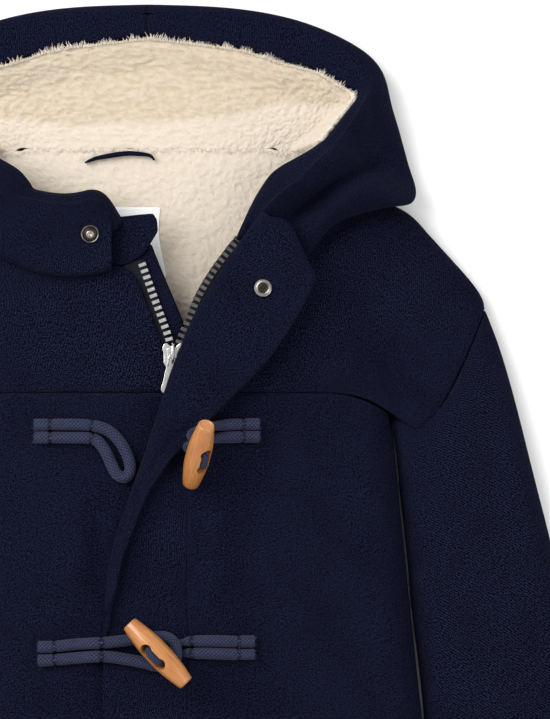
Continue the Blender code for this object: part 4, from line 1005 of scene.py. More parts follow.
def cloth(name, surface, across, down, thickness, finish, slot, wrap=False,
          inside=1.0, levels=2, crease=0.75, hood_share=0.0, detail=None, node=None):
    """A panel of cloth on surface(u, v): a closed wall, subdivided, with its folds."""
    outer, inner, uv = surface_grid(surface, across, down, thickness, wrap, inside)
    columns, rows = outer.shape[:2]
    count = columns * rows
    vertices = np.concatenate([outer.reshape(-1, 3), inner.reshape(-1, 3)]) * MM
    uvs = np.concatenate([uv.reshape(-1, 2), uv.reshape(-1, 2) + thickness * MM])
    faces = []
    for i in range(across):
        k = (i + 1) % columns
        for j in range(rows - 1):
            a, b, c, d = i * rows + j, k * rows + j, k * rows + j + 1, i * rows + j + 1
            faces += [(a, b, c, d), (a + count, d + count, c + count, b + count)]
        for j, flip in ((0, False), (rows - 1, True)):
            a, b = i * rows + j, k * rows + j
            edge = (a, a + count, b + count, b)
            faces.append(edge[::-1] if flip else edge)
    if not wrap:
        for i, flip in ((0, True), (columns - 1, False)):
            for j in range(rows - 1):
                a, b = i * rows + j, i * rows + j + 1
                edge = (a, a + count, b + count, b)
                faces.append(edge[::-1] if flip else edge)
    item = new_object(name, vertices, faces, finish, uvs)
    if crease > 0.0:
        rims = set()
        for i in range(columns):
            rims.update((i * rows, i * rows + rows - 1))
        if not wrap:
            rims.update(range(rows))
            rims.update(range((columns - 1) * rows, columns * rows))
        layer = item.data.attributes.new("crease_edge", "FLOAT", "EDGE")
        for edge in item.data.edges:
            a, b = edge.vertices
            same_side = (a < count) == (b < count)
            if same_side and a % count in rims and b % count in rims:
                if wrap or abs(a - b) in (1, rows):
                    layer.data[edge.index].value = crease
    step = item.modifiers.new("smooth", "SUBSURF")
    step.levels = step.render_levels = levels
    apply_modifiers(item)
    set_points(item, shaped(points_of(item) / MM, hood_share) * MM)
    turn_outwards(item)
    if detail is not None:
        detail(item)
    item.data.shade_smooth()
    finish_piece(item, slot, node or name)
    return item


# ---------------------------------------------------------------- materials

def group(name, inputs, outputs):
    """An empty shader node group with named sockets; inputs hold (name, type, default)."""
    made = bpy.data.node_groups.new(name, "ShaderNodeTree")
    for label_of, kind, value in inputs:
        socket = made.interface.new_socket(name=label_of, in_out="INPUT", socket_type=kind)
        if value is not None:
            socket.default_value = value
    for label_of, kind in outputs:
        made.interface.new_socket(name=label_of, in_out="OUTPUT", socket_type=kind)
    return made, made.nodes.new("NodeGroupInput"), made.nodes.new("NodeGroupOutput")


class Tree:
    """Short ways to add and link nodes in one tree."""

    def __init__(self, tree):
        self.nodes, self.links = tree.nodes, tree.links

    def add(self, kind, values=None, **settings):
        node = self.nodes.new(kind)
        for key, value in settings.items():
            setattr(node, key, value)
        self.feed(node, values or {})
        return node

    def feed(self, node, values):
        """Links or sets the node's inputs."""
        for key, value in values.items():
            if isinstance(value, bpy.types.NodeSocket):
                self.links.new(value, node.inputs[key])
            else:
                node.inputs[key].default_value = value

    def attribute(self, name, output="Fac"):
        return self.add("ShaderNodeAttribute", attribute_name=name).outputs[output]

    def cloth_uv(self):
        return self.add("ShaderNodeUVMap", uv_map="cloth").outputs[0]

    def shared(self, name, vector, **values):
        """Outputs of a shared group that reads its pattern at vector."""
        return self.add("ShaderNodeGroup", {"Vector": vector, **values}, node_tree=GROUPS[name]).outputs

    def math(self, operation, first, second=0.0, clamp=False):
        return self.add("ShaderNodeMath", {0: first, 1: second}, operation=operation,
                        use_clamp=clamp).outputs[0]

    def mix(self, share, first, second):
        node = self.add("ShaderNodeMix", data_type="RGBA")
        self.feed(node, {0: share, 6: first, 7: second})
        return node.outputs[2]

    def noise(self, vector, scale, detail=3.0, roughness=0.55, stretch=None):
        if stretch is not None:
            vector = self.add("ShaderNodeMapping", {"Vector": vector, "Scale": stretch}).outputs[0]
        return self.add("ShaderNodeTexNoise", {"Vector": vector, "Scale": scale, "Detail": detail,
                                               "Roughness": roughness}).outputs[0]

    def ramp(self, value, low, high):
        return self.add("ShaderNodeMapRange", {0: value, 1: low, 2: high, 3: 0.0, 4: 1.0},
                        clamp=True).outputs[0]


def twill_group():
    """Twill under a nap: puts out the height of the yarns and a mask of raised fibres."""
    made, start, end = group(
        "twill under nap",
        (("Vector", "NodeSocketVector", None), ("Pitch", "NodeSocketFloat", 0.0011),
         ("Nap", "NodeSocketFloat", 0.6), ("Lines", "NodeSocketFloat", 0.6)),
        (("Height", "NodeSocketFloat"), ("Fibre", "NodeSocketFloat"), ("Cloud", "NodeSocketFloat")),
    )
    t = Tree(made)
    place_of = start.outputs["Vector"]
    warp = t.noise(place_of, 240.0, 2.0)
    bend = t.math("MULTIPLY", t.math("SUBTRACT", warp, 0.5), 7.0)
    split = t.add("ShaderNodeSeparateXYZ", {0: place_of})
    turn = t.math("DIVIDE", 2.0 * math.pi, start.outputs["Pitch"])
    rise = t.math("ADD", t.math("MULTIPLY", split.outputs[0], 0.70),
                  t.math("MULTIPLY", split.outputs[1], 0.71))
    wale = t.math("SINE", t.math("ADD", t.math("MULTIPLY", rise, turn), bend))
    slant = {"Vector": place_of, "Rotation": (0.0, 0.0, math.radians(-45.0))}
    slant = t.add("ShaderNodeMapping", slant).outputs[0]
    run_of = t.noise(slant, 1900.0, 2.0, 0.6, (1.0, 0.34, 1.0))
    fibre = t.noise(place_of, 2050.0, 2.0, 0.65, (1.0, 0.8, 1.0))
    patch = t.ramp(t.noise(place_of, 60.0, 2.0), 0.35, 0.65)
    lines = t.math("MULTIPLY", t.math("ADD", t.math("MULTIPLY", wale, 0.10), t.math("SUBTRACT", run_of, 0.5)),
                   t.math("ADD", t.math("MULTIPLY", patch, 0.6), 0.4))
    light = t.math("ADD", fibre, t.math("MULTIPLY", lines, start.outputs["Lines"]))
    height = t.math("MULTIPLY", light, start.outputs["Nap"])
    made.links.new(height, end.inputs["Height"])
    made.links.new(t.ramp(light, 0.48, 0.59), end.inputs["Fibre"])
    made.links.new(t.ramp(t.noise(place_of, 34.0, 3.0), 0.3, 0.7), end.inputs["Cloud"])
    return made


def braid_group():
    """Fine fuzz of plaited yarn: a height and a colour mask, from noise at the vector."""
    made, start, end = group(
        "yarn fuzz",
        (("Vector", "NodeSocketVector", None), ("Scale", "NodeSocketFloat", 2200.0)),
        (("Height", "NodeSocketFloat"), ("Fibre", "NodeSocketFloat")),
    )
    t = Tree(made)
    fine = t.noise(start.outputs["Vector"], start.outputs["Scale"], 4.0, 0.65)
    made.links.new(fine, end.inputs["Height"])
    made.links.new(t.ramp(fine, 0.38, 0.70), end.inputs["Fibre"])
    return made


def grain_group():
    """Turned wood: rings cut by the lathe, with pores along the length."""
    made, start, end = group(
        "wood grain",
        (("Vector", "NodeSocketVector", None), ("Ring", "NodeSocketFloat", 0.0016)),
        (("Ring", "NodeSocketFloat"), ("Pore", "NodeSocketFloat")),
    )
    t = Tree(made)
    place_of = start.outputs["Vector"]
    drift = t.noise(place_of, 70.0, 2.0, 0.5, (1.0, 1.0, 0.2))
    split = t.add("ShaderNodeSeparateXYZ", {0: place_of})
    across = t.math("ADD", split.outputs[0], t.math("MULTIPLY", drift, 0.004))
    rings = t.math("SINE", t.math("MULTIPLY", across, t.math("DIVIDE", 2.0 * math.pi, start.outputs["Ring"])))
    made.links.new(t.ramp(rings, -1.0, 1.0), end.inputs["Ring"])
    pores = t.noise(place_of, 1500.0, 2.0, 0.5, (1.0, 1.0, 0.06))
    made.links.new(t.ramp(pores, 0.55, 0.75), end.inputs["Pore"])
    return made


def scratch_group():
    """Handling marks on plated metal."""
    made, start, end = group(
        "handled metal",
        (("Vector", "NodeSocketVector", None),),
        (("Scratch", "NodeSocketFloat"), ("Tarnish", "NodeSocketFloat")),
    )
    t = Tree(made)
    scratch = t.noise(start.outputs["Vector"], 2600.0, 2.0, 0.6, (0.12, 1.0, 1.0))
    made.links.new(t.ramp(scratch, 0.5, 0.72), end.inputs["Scratch"])
    made.links.new(t.ramp(t.noise(start.outputs["Vector"], 300.0, 4.0), 0.35, 0.7), end.inputs["Tarnish"])
    return made


def new_finish(name):
    made = bpy.data.materials.new(name)
    made.use_nodes = True
    tree = Tree(made.node_tree)
    return made, tree, made.node_tree.nodes["Principled BSDF"]


def rgba(colour, factor=1.0):
    return (*[c * factor for c in colour], 1.0)


def set_shader(shader, **values):
    for key, value in values.items():
        shader.inputs[key.replace("_", " ")].default_value = value


def bump(tree, shader, height, strength, distance):
    node = tree.add("ShaderNodeBump", {"Height": height, "Strength": strength, "Distance": distance})
    tree.links.new(node.outputs[0], shader.inputs["Normal"])


def wool(name, colour, fleck, turn, lines=0.6, pitch=0.0011, nap=0.6):
    """Napped twill; turn is the angle of its wales to the panel's own grain, in degrees."""
    made, tree, shader = new_finish(name)
    grain = {"Vector": tree.cloth_uv(), "Rotation": (0.0, 0.0, math.radians(turn))}
    weave = tree.shared("twill", tree.add("ShaderNodeMapping", grain).outputs[0], Pitch=pitch, Nap=nap, Lines=lines)
    base = tree.mix(weave["Fibre"], rgba(colour), rgba(fleck))
    cloud = tree.math("MULTIPLY", weave["Cloud"], 0.22)
    tree.links.new(tree.mix(cloud, base, rgba(colour, 0.55)), shader.inputs["Base Color"])
    set_shader(shader, Roughness=0.95, Specular_IOR_Level=0.02, Sheen_Weight=0.015, Sheen_Roughness=0.5,
               Sheen_Tint=(0.45, 0.50, 0.75, 1.0))
    bump(tree, shader, weave["Height"], 0.6, 0.0005)
    return made


def sherpa(name, colour, hollow, low_colour, low_hollow_shade):
    """Curled pile: painted shade, darker and warmer, in its hollows, which the mesh marks, and whiter in its smooth
    zone.
    """
    made, tree, shader = new_finish(name)
    depth, zone = tree.attribute("depth"), tree.attribute("zone")
    place_of = tree.add("ShaderNodeTexCoord").outputs["Object"]
    curl = tree.add("ShaderNodeTexVoronoi", {"Vector": place_of, "Scale": 900.0, "Randomness": 1.0},
                    feature="SMOOTH_F1").outputs[0]
    fibre = tree.noise(place_of, 2600.0, 4.0, 0.7)
    # painted shade: the pile darkens towards the marked hollows and between its curls
    shade = tree.math("ADD", tree.math("MULTIPLY", depth, 0.75), tree.math("MULTIPLY", curl, 0.22), clamp=True)
    light = tree.mix(zone, rgba(colour), rgba(low_colour))
    # colours of the painted shade in the hollows, for the coarse and the smooth pile
    dark = tree.mix(zone, rgba(hollow), rgba(low_hollow_shade))
    tree.links.new(tree.mix(shade, light, dark), shader.inputs["Base Color"])
    set_shader(shader, Roughness=0.98, Specular_IOR_Level=0.05, Sheen_Weight=0.12, Sheen_Roughness=0.6)
    height = tree.math("ADD", tree.math("MULTIPLY", curl, -0.6), tree.math("MULTIPLY", fibre, 0.8))
    bump(tree, shader, height, 0.55, 0.0008)
    return made


def braid(name, colour, fleck):
    """Plaited cotton yarn, with painted shade in the hollows between its strands, which the mesh marks."""
    made, tree, shader = new_finish(name)
    depth = tree.attribute("depth")
    yarn = tree.shared("yarn", tree.cloth_uv())
    base = tree.mix(yarn["Fibre"], rgba(colour), rgba(fleck))
    # painted shade: the braid darkens in its marked hollows
    tree.links.new(tree.mix(depth, base, rgba(colour, 0.08)), shader.inputs["Base Color"])
    set_shader(shader, Roughness=0.9, Specular_IOR_Level=0.12, Sheen_Weight=0.05, Sheen_Roughness=0.5)
    bump(tree, shader, yarn["Height"], 0.5, 0.0004)
    return made


def metal(name, colour, dark, roughness, wear):
    made, tree, shader = new_finish(name)
    marks = tree.shared("metal", tree.add("ShaderNodeTexCoord").outputs["Object"])
    # painted shade where the mesh marks hollows, as on the zip's teeth; the tarnish is the metal's own wear
    hollow = tree.attribute("depth")
    share = tree.math("ADD", tree.math("MULTIPLY", marks["Tarnish"], wear), hollow, clamp=True)
    tree.links.new(tree.mix(share, rgba(colour), rgba(dark)), shader.inputs["Base Color"])
    rough = tree.math("ADD", tree.math("MULTIPLY", marks["Scratch"], 0.08), roughness)
    tree.links.new(rough, shader.inputs["Roughness"])
    set_shader(shader, Metallic=1.0)
    bump(tree, shader, marks["Scratch"], 0.04, 0.00005)
    return made


def varnished(name, light, dark, line):
    """Wood under a satin varnish; each toggle carries its own grain coordinates."""
    made, tree, shader = new_finish(name)
    place_of = tree.attribute("grain", "Vector")
    wood = tree.shared("wood", place_of)
    cloud = tree.ramp(tree.noise(place_of, 90.0, 3.0, 0.5, (1.0, 1.0, 0.3)), 0.3, 0.75)
    base = tree.mix(cloud, rgba(light), rgba(dark))
    base = tree.mix(tree.math("MULTIPLY", wood["Ring"], 0.35), base, rgba(dark))
    base = tree.mix(tree.math("MULTIPLY", wood["Pore"], 0.55), base, rgba(line))
    tree.links.new(base, shader.inputs["Base Color"])
    set_shader(shader, Roughness=0.36, Specular_IOR_Level=0.5, Coat_Roughness=0.14, Coat_Weight=0.55)
    bump(tree, shader, wood["Pore"], 0.12, 0.00015)
    return made


def satin(name, colour):
    """Woven satin of the label: fine weft lines and a soft gloss."""
    made, tree, shader = new_finish(name)
    split = tree.add("ShaderNodeSeparateXYZ", {0: tree.cloth_uv()})
    weft = tree.math("SINE", tree.math("MULTIPLY", split.outputs[1], 2.0 * math.pi / 0.00045))
    warp = tree.math("SINE", tree.math("MULTIPLY", split.outputs[0], 2.0 * math.pi / 0.0008))
    height = tree.math("ADD", weft, tree.math("MULTIPLY", warp, 0.4))
    share = tree.ramp(height, -1.6, 1.6)
    tree.links.new(tree.mix(share, rgba(colour, 0.86), rgba(colour)), shader.inputs["Base Color"])
    set_shader(shader, Roughness=0.42, Specular_IOR_Level=0.4, Sheen_Weight=0.1)
    bump(tree, shader, height, 0.2, 0.00008)
    return made


def tape_weave(name, colour):
    """Zip tape: a flat herringbone weave."""
    made, tree, shader = new_finish(name)
    split = tree.add("ShaderNodeSeparateXYZ", {0: tree.cloth_uv()})
    fold = tree.math("PINGPONG", split.outputs[0], 0.0014)
    rise = tree.math("ADD", split.outputs[1], fold)
    lines = tree.math("SINE", tree.math("MULTIPLY", rise, 2.0 * math.pi / 0.0007))
    share = tree.ramp(lines, -1.0, 1.0)
    tree.links.new(tree.mix(share, rgba(colour, 0.4), rgba(colour)), shader.inputs["Base Color"])
    set_shader(shader, Roughness=0.8, Specular_IOR_Level=0.25)
    bump(tree, shader, lines, 0.4, 0.0002)
    return made


GROUPS = {}
FINISHES = {}


def make_finishes(settings, fastenings):
    """Builds the node groups and every finish from the colours in the panel."""
    GROUPS.update(twill=twill_group(), yarn=braid_group(), wood=grain_group(), metal=scratch_group())
    navy, fleck, cream = (tuple(c) for c in (settings.wool_colour, settings.fleck_colour, settings.pile_colour))
    slate, honey = tuple(fastenings.cord_colour), tuple(fastenings.wood_colour)

    def tinted(colour, *factors):
        return tuple(c * f for c, f in zip(colour, factors))

    FINISHES.update(
        wool_body=wool("navy wool body", navy, fleck, 6.0, 0.45),
        wool_sleeve=wool("navy wool sleeves", navy, fleck, 8.0, 0.8),
        wool_hood=wool("navy wool hood", navy, fleck, -30.0, 0.5),
        wool_flap=wool("navy wool flap", navy, fleck, 60.0, 0.5),
        wool_thread=wool("navy thread", rgba(navy, 1.35)[:3], fleck, 40.0, 0.3, 0.0005, 0.3),
        # the pile's second and fourth colours are its painted shade in the hollows
        sherpa=sherpa("cream pile", cream, tinted(cream, 0.80, 0.74, 0.64), tinted(cream, 1.10, 1.13, 1.18),
                      tinted(cream, 0.95, 0.92, 0.90)),
        # painted light: the tufts take lighter copies of the pile's colours against the shade of their thin locks
        tuft=sherpa("cream tufts", *[tuple(min(0.92, c) for c in tinted(cream, *factors)) for factors in (
            (1.45, 1.50, 1.60), (1.2, 1.2, 1.2), (1.45, 1.52, 1.66), (1.2, 1.2, 1.2))]),
        braid=braid("slate braid", slate, rgba(slate, 2.1)[:3]),
        braid_thread=wool("slate thread", rgba(slate, 0.8)[:3], rgba(slate, 2.0)[:3], 40.0, 0.3, 0.0005, 0.3),
        nickel=metal("bright nickel", (0.70, 0.69, 0.67), (0.06, 0.055, 0.05), 0.20, 0.18),
        # a darker copy of the nickel: painted shade for the left teeth
        dim_nickel=metal("nickel painted in shade", (0.20, 0.19, 0.175), (0.012, 0.011, 0.010), 0.25, 0.3),
        silver=metal("antique silver", (0.36, 0.34, 0.31), (0.05, 0.038, 0.03), 0.30, 0.6),
        wood=varnished("honey wood", honey, tinted(honey, 0.66, 0.50, 0.36), (0.16, 0.065, 0.02)),
        satin=satin("white satin", (0.86, 0.86, 0.86)),
        tape=tape_weave("navy tape", (0.004, 0.005, 0.013)),
    )


# ---------------------------------------------------------------- cloth pieces

FLOOR = "floor"


# Line across the hood's lining above which the pile is coarse and below which it is smooth.
FOLD_LINE = ((-110, 240), (-61, 236), (-40, 233.3), (10, 235), (43, 238.3), (68, 245), (102, 243))


def smooth_share(points):
    """How far each point, in millimetres, is into the smooth pile below the fold line."""
    line = np.array(FOLD_LINE)
    limit = np.interp(points[:, 0], line[:, 0], line[:, 1])
    share = np.clip((limit + 2.5 - points[:, 1]) / 5.0, 0.0, 1.0)
    return share * share * (3.0 - 2.0 * share)


def curls(points, lump, smooth_part, seed):
    """Height of curled pile at points in metres, from 0 to 1, and how deep each hollow is, for the painted shade."""
    heights = np.zeros(len(points))
    offset = Vector((seed * 1.7, seed * 0.9, seed * 2.3))
    for number, point in enumerate(points):
        place_of = Vector(point) / lump + offset
        place_of.z *= 0.35
        sway = noise.noise_vector(place_of * 0.5) * 0.7
        near = noise.voronoi(place_of + sway, distance_metric="DISTANCE", exponent=2.5)[0]
        rounded = 1.0 - min(1.0, near[0] / 0.75) ** 2
        strand = 1.0 - abs(noise.noise(place_of * 1.7 + sway)) * 2.2
        broad = noise.noise(place_of * 0.16) * 0.5 + 0.5
        coarse = 0.66 * rounded + 0.24 * max(0.0, strand) + 0.12 * broad
        fine = 0.46 * rounded + 0.26 * max(0.0, strand) + 0.34 * broad
        heights[number] = mix(coarse, fine, float(smooth_part[number]))
    return heights, 1.0 - heights / 0.85


def pile_detail(lump, depth, seed):
    """A detail step that raises the panel's pile from its cloth."""
    def detail(item):
        points = points_of(item)
        smooth_part = smooth_share(points / MM)
        heights, hollows = curls(points, lump, smooth_part, seed)
        factor = 1.0 - 0.15 * smooth_part
        turned_out = normals_of(item)
        facing_up = np.clip(turned_out[:, 2] * 3.0 + 1.2, 0.15, 1.0)
        set_points(item, points + turned_out * ((heights - 0.5) * depth * factor * facing_up)[:, None])
        # marks the hollows for painted shade, less of it in the smooth pile
        add_depth(item, hollows * (1.0 - 0.45 * smooth_part))
        mark_points(item, "zone", smooth_part)
    return detail


def sewn_front(side):
    """The front, the left one brought up to the flap's sewn edge."""
    plain = front_panel(side)

    def surface(u, v):
        x, y, z = plain(u, v)
        close = 1.1 * (1.0 - smooth(u / 0.12)) if side == LEFT else 0.0
        return x - side * close, y, z

    return surface


def make_body():
    """Back, both fronts and both yokes."""
    wool_body = FINISHES["wool_body"]
    cloth("back", back, 16, len(BACK_ROWS) - 1, WOOL, wool_body, "navy_wool")
    for side, word in SIDES:
        sign = float(side)
        cloth("front_" + word, sewn_front(side), 22, 24, WOOL, wool_body, "navy_wool",
              inside=-sign)
        cloth("yoke_" + word, yoke(side), 16, 16, WOOL, wool_body, "navy_wool",
              inside=-sign)


def closed_sleeve(side):
    """The sleeve laid close against the body, its top pushed up under the yoke's tongue."""
    plain = sleeve(side)

    def surface(u, v):
        x, y, z = plain(u, v)
        station = v * (len(SLEEVE) - 1)
        inner_x, inner_y, _ = sleeve_line(station, 0.0)
        gap = (inner_x - half_width(inner_y) - 0.35) * smooth((inner_y + 175.0) / 60.0)
        reach = max(0.0, 1.0 - (abs(x) - inner_x) / 16.0)
        x -= side * gap * reach
        if u < 0.5 and station < 1.0 and 0.02 < u < 0.26:
            push = math.sin(math.pi * min(1.0, (u - 0.02) / 0.24)) ** 0.6 * (1.0 - station) ** 1.5
            y += 7.5 * push
            z -= 3.2 * push * (1.0 - station)
        return x, y, z

    return surface


def make_sleeves():
    """Both sleeves, each a tube lying flat."""
    for side, word in SIDES:
        cloth("sleeve_" + word, closed_sleeve(side), 26, 20, WOOL, FINISHES["wool_sleeve"], "navy_wool",
              wrap=True, inside=-float(side))


def meet(surface, side, slack):
    """The surface moved so that its gap at the hood's middle seam closes to the slack."""
    def moved(u, v):
        x, y, z = surface(u, v)
        close = 1.0 - smooth((abs(x) - SEAM) / 6.0)
        return x - side * (SEAM - slack) * close, y, z
    return moved


def rimmed(surface):
    """The hood's half with a soft ridge along its folded rim, at the sides."""
    def moved(u, v):
        x, y, z = surface(u, v)
        ridge = max(0.0, 1.0 - u / 0.16) ** 2 * smooth((v * 16.0 - 5.0) / 3.0)
        return x, y, z + 1.2 * ridge
    return moved


def close_facing(side):
    """The facing, its outer edge brought up to the hood's rim."""
    plain = facing(side)
    rows = facing_rows(side)

    def surface(u, v):
        x, y, z = plain(u, v)
        rim = spline(rows, v * (len(rows) - 1))
        pull_in = (1.0 - u) ** 3 * 0.96
        rim_x = side * (rim[0] + SEAM)
        side_part = smooth((v * (len(rows) - 1) - 5.0) / 3.0)
        dip = 1.5 * math.sin(math.pi * min(1.0, u / 0.6)) * side_part
        tuck = smooth(v * (len(rows) - 1) - (len(rows) - 2))
        x, y = mix(x, rim_x, pull_in) - side * 2.4 * tuck, mix(y, rim[1], pull_in) - 5.2 * tuck
        return x, y, z - dip - 0.8 * tuck
    return surface


def make_hood():
    """Hood halves and the facing inside their rim."""
    for side, word in SIDES:
        sign = float(side)
        rows = len(facing_rows(side)) - 1
        cloth("hood_" + word, rimmed(meet(hood(side), side, SEAM_SLACK)), 15, 2 * rows, WOOL,
              FINISHES["wool_hood"], "navy_wool", inside=-sign, crease=1.0, hood_share=1.0)
        cloth("hood_facing_" + word, meet(close_facing(side), side, SEAM_SLACK), 6, 2 * rows, WOOL,
              FINISHES["wool_hood"], "navy_wool", inside=sign, crease=1.0, hood_share=1.0)


def low_lining(u, v):
    """The back neck's lining, wide enough to pass under the facing on both sides."""
    y = mix(221.75, 100.0, v)
    reach = mix(mix(72.0, 84.0, smooth((y - 206.0) / 5.0)), 73.0, smooth((206.0 - y) / 10.0))
    x = mix(-reach, reach, u)
    out = abs(x)
    shift = -1.8 * smooth((out - 60.0) / 7.5) + 0.30 * max(0.0, out - 67.5) - 0.3 * smooth((out - 64.0) / 4.0)
    return x, y + shift * max(0.0, 1.0 - v / 0.08), LINING_TOP_Z - 0.5 * smooth((y - 212.0) / 8.0)


def full_hood_lining(u, v):
    """The hood's lining, its lower edge brought up to the neck's."""
    x, y, z = hood_lining(u, v)
    return x, y - 0.6 * u ** 4 * (1.0 - smooth((abs(x) - 58.0) / 6.0)), z


# Tufts along the lining's outer edge, strewn over it and along its seam at the neck.
EDGE_TUFTS, LOOSE_TUFTS, SEAM_TUFTS = 520, 900, 420
PILE_SEED = 3          # of the curls, one for both linings, so that they meet


def make_lining(settings):
    """Pile lining of the hood and of the back neck, with tufts along its edges."""
    noise.seed_set(PILE_SEED)   # without it the noise vectors follow the clock
    pile = FINISHES["sherpa"]
    curled = pile_detail(settings.curl_size, settings.pile_depth, PILE_SEED)
    hood_pile = cloth("hood_lining", full_hood_lining, 18, 66, SHERPA, pile, "cream_sherpa",
                      hood_share=1.0, crease=1.0,
                      detail=curled)
    neck_pile = cloth("back_lining", low_lining, 37, 31, SHERPA, pile, "cream_sherpa",
                      inside=-1.0, crease=1.0, hood_share=1.0,
                      detail=curled)
    chance = random.Random(5)
    top = ground_under([hood_pile, neck_pile])
    edge = []
    for mark in np.linspace(0.0, 1.0, EDGE_TUFTS):
        x, y, z = hood_lining(0.0, mark)
        ahead = hood_lining(0.0, min(1.0, mark + 0.004))
        behind = hood_lining(0.0, max(0.0, mark - 0.004))
        run = Vector((ahead[0] - behind[0], ahead[1] - behind[1])).normalized()
        out = Vector((-run.y, run.x))
        if out.dot(Vector((x, y - 190.0))) < 0.0:
            out = -out
        swell = 0.5 + 0.5 * math.sin(mark * 170.0 + 3.0 * math.sin(mark * 53.0))
        edge.append((Vector((x, y, z + 0.6)) - out.to_3d() * 0.8, Vector((out.x, out.y, 0.35)), 1.3 + 2.0 * swell))
    item = tufts("hood_pile_edge", edge, 6, 0.26, FINISHES["tuft"], chance)
    finish_piece(item, "cream_sherpa")
    spread = []
    for _ in range(LOOSE_TUFTS):
        x, y = chance.uniform(-104.0, 108.0), chance.uniform(140.0, 279.0)
        hit = top(x, y)
        if hit is not None and hit[1].z >= 0.1:
            turn = chance.uniform(0.0, 2.0 * math.pi)
            lean = Vector((math.cos(turn), math.sin(turn), 0.45))
            spread.append((hit[0] / MM - hit[1] * 0.35, lean, 1.2))
    for step in range(SEAM_TUFTS):
        x = -78.0 + 160.0 * step / SEAM_TUFTS
        y = 221.0 - 2.4 * smooth((abs(x) - 52.0) / 22.0) + chance.uniform(-0.5, 0.7)
        hit = top(x, y)
        if hit is not None:
            spread.append((hit[0] / MM - hit[1] * 0.3, Vector((chance.uniform(-0.5, 0.5), -0.8, 0.35)), 2.0))
    item = tufts("loose_pile", spread, 4, 0.17, FINISHES["tuft"], chance)
    finish_piece(item, "cream_sherpa")


def tufts(name, roots, count, size, finish, chance):
    """Tufts of pile: at each root a few curved locks, each of some fibres, in millimetres."""
    vertices, faces = [], []
    for root, way, length in roots:
        for _ in range(count):
            go = (way + Vector((chance.uniform(-0.55, 0.55), chance.uniform(-0.55, 0.55), chance.uniform(-0.2, 0.4))))
            go.normalize()
            curl = Vector((chance.uniform(-0.9, 0.9), chance.uniform(-0.9, 0.9), chance.uniform(-0.9, 0.1)))
            start = root + Vector((chance.uniform(-0.5, 0.5), chance.uniform(-0.5, 0.5), chance.uniform(-0.3, 0.3)))
            reach = length * chance.uniform(0.45, 1.1)
            side_way = go.cross(Vector((0.3, 0.2, 1.0))).normalized()
            up = side_way.cross(go)
            add_lock(vertices, faces, [start + go * reach * s + curl * s * s * 0.45 * reach for s in LOCK_STEPS],
                     [size * (1.0 - 0.75 * s) for s in LOCK_STEPS], side_way, up)
    points = np.array([tuple(v) for v in vertices])
    item = new_object(name, points, faces, finish, points[:, :2])
    add_depth(item, np.zeros(len(vertices)))
    mark_points(item, "zone", smooth_share(points / MM))
    return item


def ease_twist(item):
    """Ease the flap where it twists flat."""
    work = bmesh.new()
    work.from_mesh(item.data)
    near = [v for v in work.verts if -0.030 < v.co.y < 0.006 and v.co.x < -0.009]
    for _ in range(8):
        bmesh.ops.smooth_vert(work, verts=near, factor=0.5, use_axis_x=True, use_axis_y=True, use_axis_z=True)
    work.to_mesh(item.data)
    work.free()


def make_flap():
    """Flap over the zip, the guard behind the zip and the chin tab on it."""
    cloth("flap", flap, 18, 2 * (len(FLAP) - 1), TWO_PLY, FINISHES["wool_flap"], "navy_wool",
          inside=-1.0, crease=0.4,
          detail=ease_twist)
    cloth("zip_guard", guard, 4, 30, WOOL, FINISHES["wool_body"], "navy_wool")
    chin_tab()


def chin_tab():
    """Small rounded tab over the guard's top, reaching in under the collar's end."""
    points = []
    outline = ((-20.0, 186.2),) + CHIN_TAB[1:-2] + ((-8.4, 163.6), (-19.5, 160.6))
    for start, stop in zip(outline, outline[1:] + outline[:1]):
        points += [Vector(start).lerp(Vector(stop), share) for share in (0.0, 0.3, 0.7)]
    middle = sum(points, Vector((0.0, 0.0))) / len(points)
    rings = []
    for share, height in ((0.0, WOOL), (0.45, WOOL), (0.8, WOOL), (0.97, WOOL * 0.86), (1.0, WOOL * 0.5),
                          (0.97, WOOL * 0.14), (0.8, 0.0), (0.45, 0.0)):
        rings.append([(*(middle + (p - middle) * share), CHIN_TAB_LOW + height) for p in points])
    vertices, faces = [rings[0][0]], []
    count = len(points)
    for ring in rings[1:]:
        vertices += ring
    for k in range(count):
        faces.append((0, 1 + k, 1 + (k + 1) % count))
    for ring in range(len(rings) - 2):
        for k in range(count):
            a, b = 1 + ring * count + k, 1 + ring * count + (k + 1) % count
            faces.append((a, a + count, b + count, b))
    last = 1 + (len(rings) - 2) * count
    vertices.append((*middle, CHIN_TAB_LOW))
    for k in range(count):
        faces.append((last + k, len(vertices) - 1, last + (k + 1) % count))
    metres = np.array(vertices) * MM
    item = new_object("chin_tab", metres, faces, FINISHES["wool_body"], metres[:, :2])
    step = item.modifiers.new("smooth", "SUBSURF")
    step.levels = step.render_levels = 2
    apply_modifiers(item)
    turn_outwards(item)
    finish_piece(item, "navy_wool", "chin_tab")
    return item


def make_label():
    """Bare label, with the margin it is sewn by."""
    cloth("label", label, 8, 10, 0.6, FINISHES["satin"], "white_satin",
          inside=-1.0, hood_share=0.3)


# ---------------------------------------------------------------- stage

CAMERA_AT = (0.064, 0.11525, 3.0308)   # looking straight down


